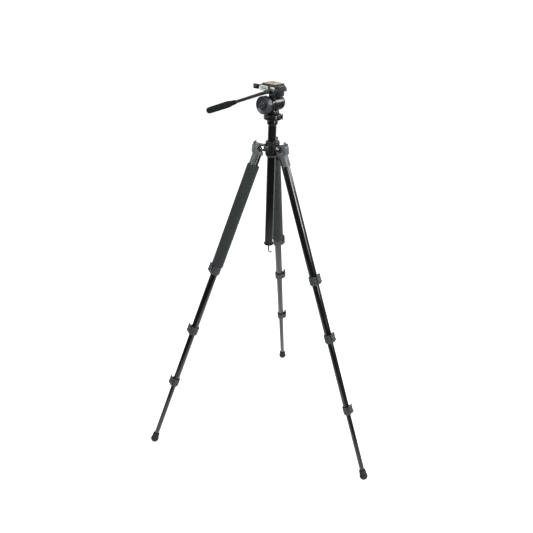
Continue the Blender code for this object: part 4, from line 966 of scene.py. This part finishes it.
def platform():
    """Tilt platform: eye round the shaft, arm, neck, deck with the plate's pocket, arched cheek, side pad and seats."""
    eye = [(9.4, 13.5), (9.4, 26.3), (22.4, 26.3), (23.5, 25.2), (23.5, 14.6), (22.4, 13.5)]
    neck = [(4.0, -25.8), (28.0, -25.8), (28.0, 22.0), (-16.0, 22.0), (-16.0, 0.0)]
    wall = rounded(rect((-35.0, 28.0), (-DECK_HALF, DECK_HALF)), 3.2, 6, closed=True)
    pocket = rounded(rect((PLATE_X - POCKET_X, PLATE_X + POCKET_X), (-POCKET_Y, POCKET_Y)), 1.4, 6, closed=True)
    cheek_low, cheek_high = 26.6, 36.0
    lug = [(0, 1312.1), (4.4, 1312.1), (5.0, 1312.7), (5.0, 1319.4), (4.4, 1320.0), (0, 1320.0)]
    shapes = [turned_ring(eye, 0.5, 72).at(lay_y(0, TILT_Z)),
              box((5.2, 23.8), (-26.0, -13.8), (1284.0, 1313.6), 2.0, 1.2),
              cut(neck, 2.5, 1296.7, 1312.8, 1.0, fine=4),
              cut(rect((-31.0, 26.0), (-23.4, 23.4)), 3.0, 1312.1, 1313.2, 0.5, fine=5),
              rim(wall, pocket, DECK_LOW, DECK_TOP, 1.0),
              bored(POCKET_X + 1, POCKET_Y + 1, 7.9, DECK_LOW + 0.4, DECK_TOP - 5.0, 1.4, 0.4, 6),
              pin(9.0, 1312.5, 1322.2, 0.2, 40).at(shift(PLATE_X)),
              slab(cheek_outline(), cheek_low, cheek_high, 1.8, "yz", 5)]
    parts = made_of(ENAMEL, *shapes)
    parts += made_of(CHEEK, slab(cheek_outline(2.6), 35.0, cheek_high - 0.02, 0.5, "yz"))
    parts += made_of(ENAMEL, pin(7.0, 24.0, 28.2, 0.5, 48).at(lay_y(HANDLE[0], HANDLE[2])))
    parts += made_of(MILLED, cut(rect((11.0, 27.0), (1313.6, 1328.4)), 2.0, -27.0, -24.2, 0.6, "xz", 5))
    parts += made_of(ENAMEL, disc(lug, 0.3, 36).at(shift(LATCH_X, LATCH_Y)),
                     box((LATCH_X, -34.0), (-19.6, -10.4), (1312.4, 1319.6), 0.6, 0.5))
    piece("tilt_top", parts, "tilt_head", "tilt_platform", HEAD)


def stadium(half_x, half_z):
    """Round-ended outline of the level: two half circles joined by straights."""
    reach, count = half_x - half_z, 12
    return np.concatenate([arc((LEVEL_X + reach, LEVEL_Z), half_z, -90, 90, count),
                           arc((LEVEL_X - reach, LEVEL_Z), half_z, 90, 270, count)])


def level():
    """Spirit level: a pale round-ended bezel, a green vial standing out of its window, two hoops and the bubble."""
    def along(x, depth, z=LEVEL_Z):
        """Points at places along X, a depth in front of the side that the level is on."""
        return np.stack([x, np.full(len(x), LEVEL_Y - depth), np.full(len(x), z)], 1)

    def pinched(count, power):
        """Place along a round-ended bar, and how full it is there: the square root of 1 - |place| ^ power."""
        reach = np.linspace(-1, 1, count)
        return reach, np.sqrt(np.clip(1 - np.abs(reach) ** power, 0.02, 1))

    upright = (0, 0, 1)
    bezel = rim(stadium(18.0, 7.5), stadium(13.0, 4.4), 0.0, 2.2, 0.9)
    bezel.points = np.stack([bezel.points[:, 0], LEVEL_Y - bezel.points[:, 2], bezel.points[:, 1]], 1)
    back = slab(stadium(17.0, 6.6), LEVEL_Y - 0.9, LEVEL_Y - 0.1, 0.2, "xz")
    reach, full = pinched(19, 6)
    radius = 3.4 * full
    vial = loft(along(LEVEL_X + 12.0 * reach, 0.9), upright, radius, radius * 0.5, 2.0, 32)
    reach, full = pinched(11, 2)
    size = 1.5 * full
    bubble = loft(along(LEVEL_X + 1.4 + 3.4 * reach, 1.95, LEVEL_Z + 1.0), upright, size, size * 0.45, 2.0, 20)
    hoops = [loft(along(np.array([x - 0.35, x + 0.35]), 0.9), upright, 3.55, 1.85, 2.0, 28) for x in (-21.6, -12.4)]
    parts = made_of(BEZEL, bezel, back) + made_of(FLUID, vial) + made_of(BUBBLE_PAINTED_HIGHLIGHT, bubble) + made_of(ENAMEL, *hoops)
    piece("level_vial", parts, "tilt_head", "spirit_level", HEAD)


def plate():
    """Quick-release plate: a black slab with a key below and a cork pad let into its top, bored for the screw."""
    low = PLATE_LOW
    slab_part = bored(27.25, 24.0, 3.6, low, low + 4.0, 4.0, 0.9)
    cork = bored(24.6, 21.6, 3.7, low + 3.2, low + 5.0, 3.0, 0.5)
    key = bored(24.9, 20.0, 3.6, low - 5.0, low + 1.0, 1.4, 0.3)
    piece("release_plate", [(slab_part, ENAMEL), (cork, CORK), (key, ENAMEL)], "plate", "qr_plate", HEAD)


def tripod_screw():
    """Camera screw: a slotted flat head, and a thread drawn as a helix round the shank.

    The thread's radius is 2.75 mm plus 0.7 mm times how far the fraction of (height / pitch - angle / turn) is
    from a half, so it rises and falls once in each pitch.
    """
    head = [(0, 1322.6), (7.0, 1322.6), (7.5, 1323.0), (7.5, 1325.6), (7.2, 1326.0), (2.6, 1326.0), (2.6, 1326.4)]
    shank = [(3.1, z) for z in np.arange(1326.5, 1341.0, 0.21)] + [(2.5, 1341.5), (0, 1341.6)]

    def thread(r, z, a):
        helix = 2.75 + 0.7 * np.abs((z / THREAD_PITCH - a / TAU) % 1 - 0.5)
        return np.where((r > 3.0) & (r < 3.2), helix, r)

    piece("quarter_inch_screw", made_of(PLATED, turned(head + shank, 32, wave=thread)), "plate_screw", "camera_screw",
          HEAD @ shift(PLATE_X))


def latch():
    """Plate latch: a boss with its screw on the lug, a flat arm and a deep thumb block with rounded corners."""
    low, high = LATCH_LOW, LATCH_HIGH
    seat = shift(LATCH_X, LATCH_Y)
    boss = [(0, low), (4.5, low), (5.0, low + 0.5), (5.0, high - 0.6), (4.4, high), (0, high)]
    arm = [(-38.0, -19.6), (-38.0, -12.2), (-52.0, -12.4), (-52.0, -20.0)]
    thumb = rounded(rect((-70.0, -50.0), (-21.0, -12.0)), 2.4, 5, closed=True)
    dot = disc([(0, 0), (2.6, 0), (2.6, 0.5), (2.0, 0.8), (0, 0.8)], 0.2, 28)
    parts = [(disc(boss, 0.3, 40).at(seat), ENAMEL), (pin(2.0, 1314.0, low + 1, 0.2, 24).at(seat), PLATED),
             (cut(arm, 1.2, high - 4.0, high - 0.2, 0.6), ENAMEL),
             (slab(thumb, high - 15.0, high, 1.8, steps=5), ENAMEL),
             (dot.at(shift(-59.0, -20.4, high - 7.5) @ spin(90, "X")), LEVER)]
    piece("plate_latch_lever", parts, "plate_latch", "qr_lever", HEAD)


def handle():
    """Pan handle: boss and rod, then the grip with its ferrule, lengthwise grooves and end cap, and the clamp screw.

    Each groove is 0.5 mm times 2.2 * cos(14 * angle) - 1.1, held between 0 and 1.
    """
    at = HEAD @ (shift(*HANDLE) @ spin(-90.0 - HANDLE_DROP, "Y"))
    boss = [(2.8, -6.0), (6.2, -6.0), (7.0, -5.2), (7.0, 5.2), (6.2, 6.0), (2.8, 6.0)]
    bar = [(0, 1.0), (5.0, 1.0), (5.5, 6.0), (5.5, 289.5), (5.0, 290.0), (0, 290.0)]
    shoulder = [(0, 5.0), (6.6, 5.0), (6.9, 6.5), (6.6, 12.0), (5.8, 15.5), (0, 15.6)]
    parts = made_of(TUBE, turned_ring(boss, 0.4, 56).at(lay_y()), disc(bar, 0.4, 56))
    piece("handle_bar", parts + made_of(ENAMEL, disc(shoulder, 0.8, 48)), "handle", "handle_rod", at)
    profile = lift(GRIP_END, (0, -9.7), (5.8, -9.7))
    profile += lift(GRIP_START, (5.8, -26), (6.9, -26), (7.3, -25.2), (8.8, -4), (9.0, -2.2), (8.6, -1.2), (8.6, -0.2),
                    (9.6, 1), (10.4, 3.4), (11.1, 10), (11.3, 15), (11.3, 40), (11.3, 70))
    profile += lift(GRIP_END, (11.3, -12), (10.9, -9.4), (10.5, -8.8), (10.9, -8), (10.8, -5), (9.6, -1.6),
                    (7.6, -0.2), (0, 0))

    def groove(r, z, a):
        depth = 0.5 * np.clip(np.cos(a * 14) * 2.2 - 1.1, 0, 1)
        return r - depth * ((r > 10.6) & (z > GRIP_START + 8) & (z < GRIP_END - 11))

    grip = turned(rounded(profile, 0.3, 2), 168, wave=groove)
    piece("handle_sleeve", made_of(GRIP, grip), "handle", "handle_grip", at)
    screw = [(0, 16.0), (2.5, 16.0)] + lift(40.8, (2.5, 0), (5.0, 0), (5.5, 0.5), (5.5, 3.4), (4.9, 4.2), (2.6, 4.2),
                                            (2.4, 2.2), (0, 2.2))
    piece("handle_clamp_screw", made_of(LOCK, disc(screw, 0.25, 120, grooves(0.2, 20, 0.1, 5.3))), "handle_clamp",
          "handle_knob", HEAD @ lay_y(HANDLE[0], HANDLE[2]))


# ------------------------------------------------------------------ studio, in metres and watts

FLOOR_DROP = 0.0004
WALL_LEAN = -0.2
FOCAL_MM, SENSOR_MM = 43.22, 36.0
# name, place, point it faces, width, height, power
SOFTBOXES = (
    ("key_right", (2.0, -1.35, 1.8), (0, 0, 1.0), 0.9, 1.1, 34),
    ("key_low", (2.16, -1.455, 1.03), (0, 0, 0.75), 0.9, 0.52, 6.5),
    ("fill_top", (-0.6, -1.2, 2.9), (0, 0, 0.6), 1.6, 1.6, 14),
    ("side_left", (-2.5, -0.9, 1.6), (0, 0, 1.25), 1.2, 1.6, 8),
    ("front_left", (-1.9, -1.8, 1.95), (0, 0, 1.25), 1.0, 0.9, 14),
    ("rim_right", (2.3, 0.65, 2.3), (0, 0, 1.3), 0.9, 0.9, 34),
)


def behind(tree, vector):
    """Y plus a share of X: how far a point or a direction lies behind the tripod."""
    split = add(tree, "ShaderNodeSeparateXYZ", {0: vector})
    return maths(tree, "MULTIPLY_ADD", split.outputs["X"], WALL_LEAN, split.outputs["Y"])


def distance(tree, point):
    """How far a place is from a point."""
    return add(tree, "ShaderNodeVectorMath", {0: place(tree), 1: point}, operation="DISTANCE").outputs["Value"]


def glow(tree, strength):
    """White light given off by the paper."""
    return add(tree, "ShaderNodeEmission", {"Color": (1, 1, 1, 1), "Strength": strength}).outputs[0]


def either(tree, choice, first, second):
    """First surface where choice is 0, second where it is 1."""
    return add(tree, "ShaderNodeMixShader", {0: choice, 1: first, 2: second}).outputs[0]


def studio_paper():
    """Pale sweep: white to the camera, with the tripod's soft shadow.

    Polished pieces mirror a pool of light under the tripod, full to 0.45 m from its centre and gone at 1.4 m, the lit
    paper behind it, and a patch far to the right.
    """
    made = bpy.data.materials.new("studio_paper")
    tree = blank(made)
    rays = add(tree, "ShaderNodeLightPath").outputs
    paper = add(tree, "ShaderNodeBsdfDiffuse", {"Color": srgb("#e8e8e8")}).outputs[0]
    both = add(tree, "ShaderNodeAddShader", {0: paper, 1: glow(tree, 0.78)}).outputs[0]
    pool = ramp(tree, distance(tree, (0.0, 0.05, 0.0)), 0.45, 1.4, 1.15, 0.02)
    back = ramp(tree, behind(tree, place(tree)), 0.3, 1.6, 0, 0.9)
    right = ramp(tree, distance(tree, (4.3, -2.9, 0.0)), 0.8, 1.4, 2.0, 0)
    mirrored = glow(tree, maths(tree, "MAXIMUM", maths(tree, "MAXIMUM", pool, back), right))
    seen = either(tree, rays["Is Camera Ray"], paper, both)
    last = either(tree, rays["Is Glossy Ray"], seen, mirrored)
    add(tree, "ShaderNodeOutputMaterial", {"Surface": last})
    return made


def floor():
    """Round sheet of paper, 40 m in radius, just under the feet."""
    radii = np.array([40.0, 12.0, 4.0, 1.5, 0.5, 0.0])[:, None]
    angle = np.arange(64) / 64 * TAU
    grid = np.stack([radii * np.cos(angle), radii * np.sin(angle), np.full((6, 64), -FLOOR_DROP)], -1)
    shape = surface(grid)
    mesh = bpy.data.meshes.new("studio_floor")
    mesh.from_pydata(shape.points.tolist(), [], shape.quads.tolist())
    weld(mesh, 1e-6)
    if mesh.polygons[0].normal.z < 0:
        mesh.flip_normals()
    mesh.materials.append(studio_paper())
    link("studio_floor", mesh)


def studio_world():
    """White to the camera; for everything else a dark room under a pale ceiling, with a lit wall behind."""
    world = bpy.data.worlds.new("studio")
    tree = blank(world)
    way = add(tree, "ShaderNodeTexCoord").outputs["Generated"]
    height = add(tree, "ShaderNodeSeparateXYZ", {0: way}).outputs["Z"]
    room = maths(tree, "MAXIMUM", ramp(tree, height, 0.25, 0.8, 0.03, 0.4),
                 ramp(tree, behind(tree, way), 0.1, 0.6, 0.0, 0.9))
    rays = add(tree, "ShaderNodeLightPath").outputs
    white = maths(tree, "MAXIMUM", rays["Is Camera Ray"], rays["Is Transmission Ray"])
    dim = add(tree, "ShaderNodeMix", {0: rays["Is Glossy Ray"], 2: 0.4, 3: room}, data_type="FLOAT").outputs[0]
    strength = add(tree, "ShaderNodeMix", {0: white, 2: dim, 3: 1.0}, data_type="FLOAT").outputs[0]
    back = add(tree, "ShaderNodeBackground", {"Color": (1, 1, 1, 1), "Strength": strength})
    add(tree, "ShaderNodeOutputWorld", {"Surface": back.outputs[0]})
    bpy.context.scene.world = world


def softbox(name, spot, aim, width, height, power):
    """Rectangular lamp that faces a point."""
    lamp = bpy.data.lights.new(name, "AREA")
    lamp.shape = "RECTANGLE"
    lamp.size, lamp.size_y, lamp.energy = width, height, power
    obj = link(name, lamp)
    obj.location = spot
    obj.rotation_euler = (Vector(aim) - Vector(spot)).to_track_quat("-Z", "Y").to_euler()


def camera():
    """Camera at the fitted viewpoint: its right, up and back axes are given."""
    data = bpy.data.cameras.new("camera")
    data.lens, data.sensor_width, data.sensor_fit = FOCAL_MM, SENSOR_MM, "HORIZONTAL"
    obj = link("camera", data)
    right, up, back = (0.98065, 0.19388, 0.02709), (-0.10921, 0.42699, 0.89764), (0.16246, -0.88323, 0.43990)
    turn = Matrix((right, up, back)).transposed().to_4x4()
    obj.matrix_world = Matrix.Translation((0.34958, -2.13824, 1.70270)) @ turn
    bpy.context.scene.camera = obj


def studio():
    """Paper, world, camera and lamps."""
    floor()
    studio_world()
    camera()
    for lamp in SOFTBOXES:
        softbox(*lamp)
    bpy.context.scene.view_settings.view_transform = "Standard"


spider()
hinge_bolts()
column()
column_foot()
clamp_screw()
for leg_name in ("left", "right", "back"):
    leg(leg_name)
pan_parts()
housing()
drum()
platform()
level()
plate()
tripod_screw()
latch()
handle()
studio()
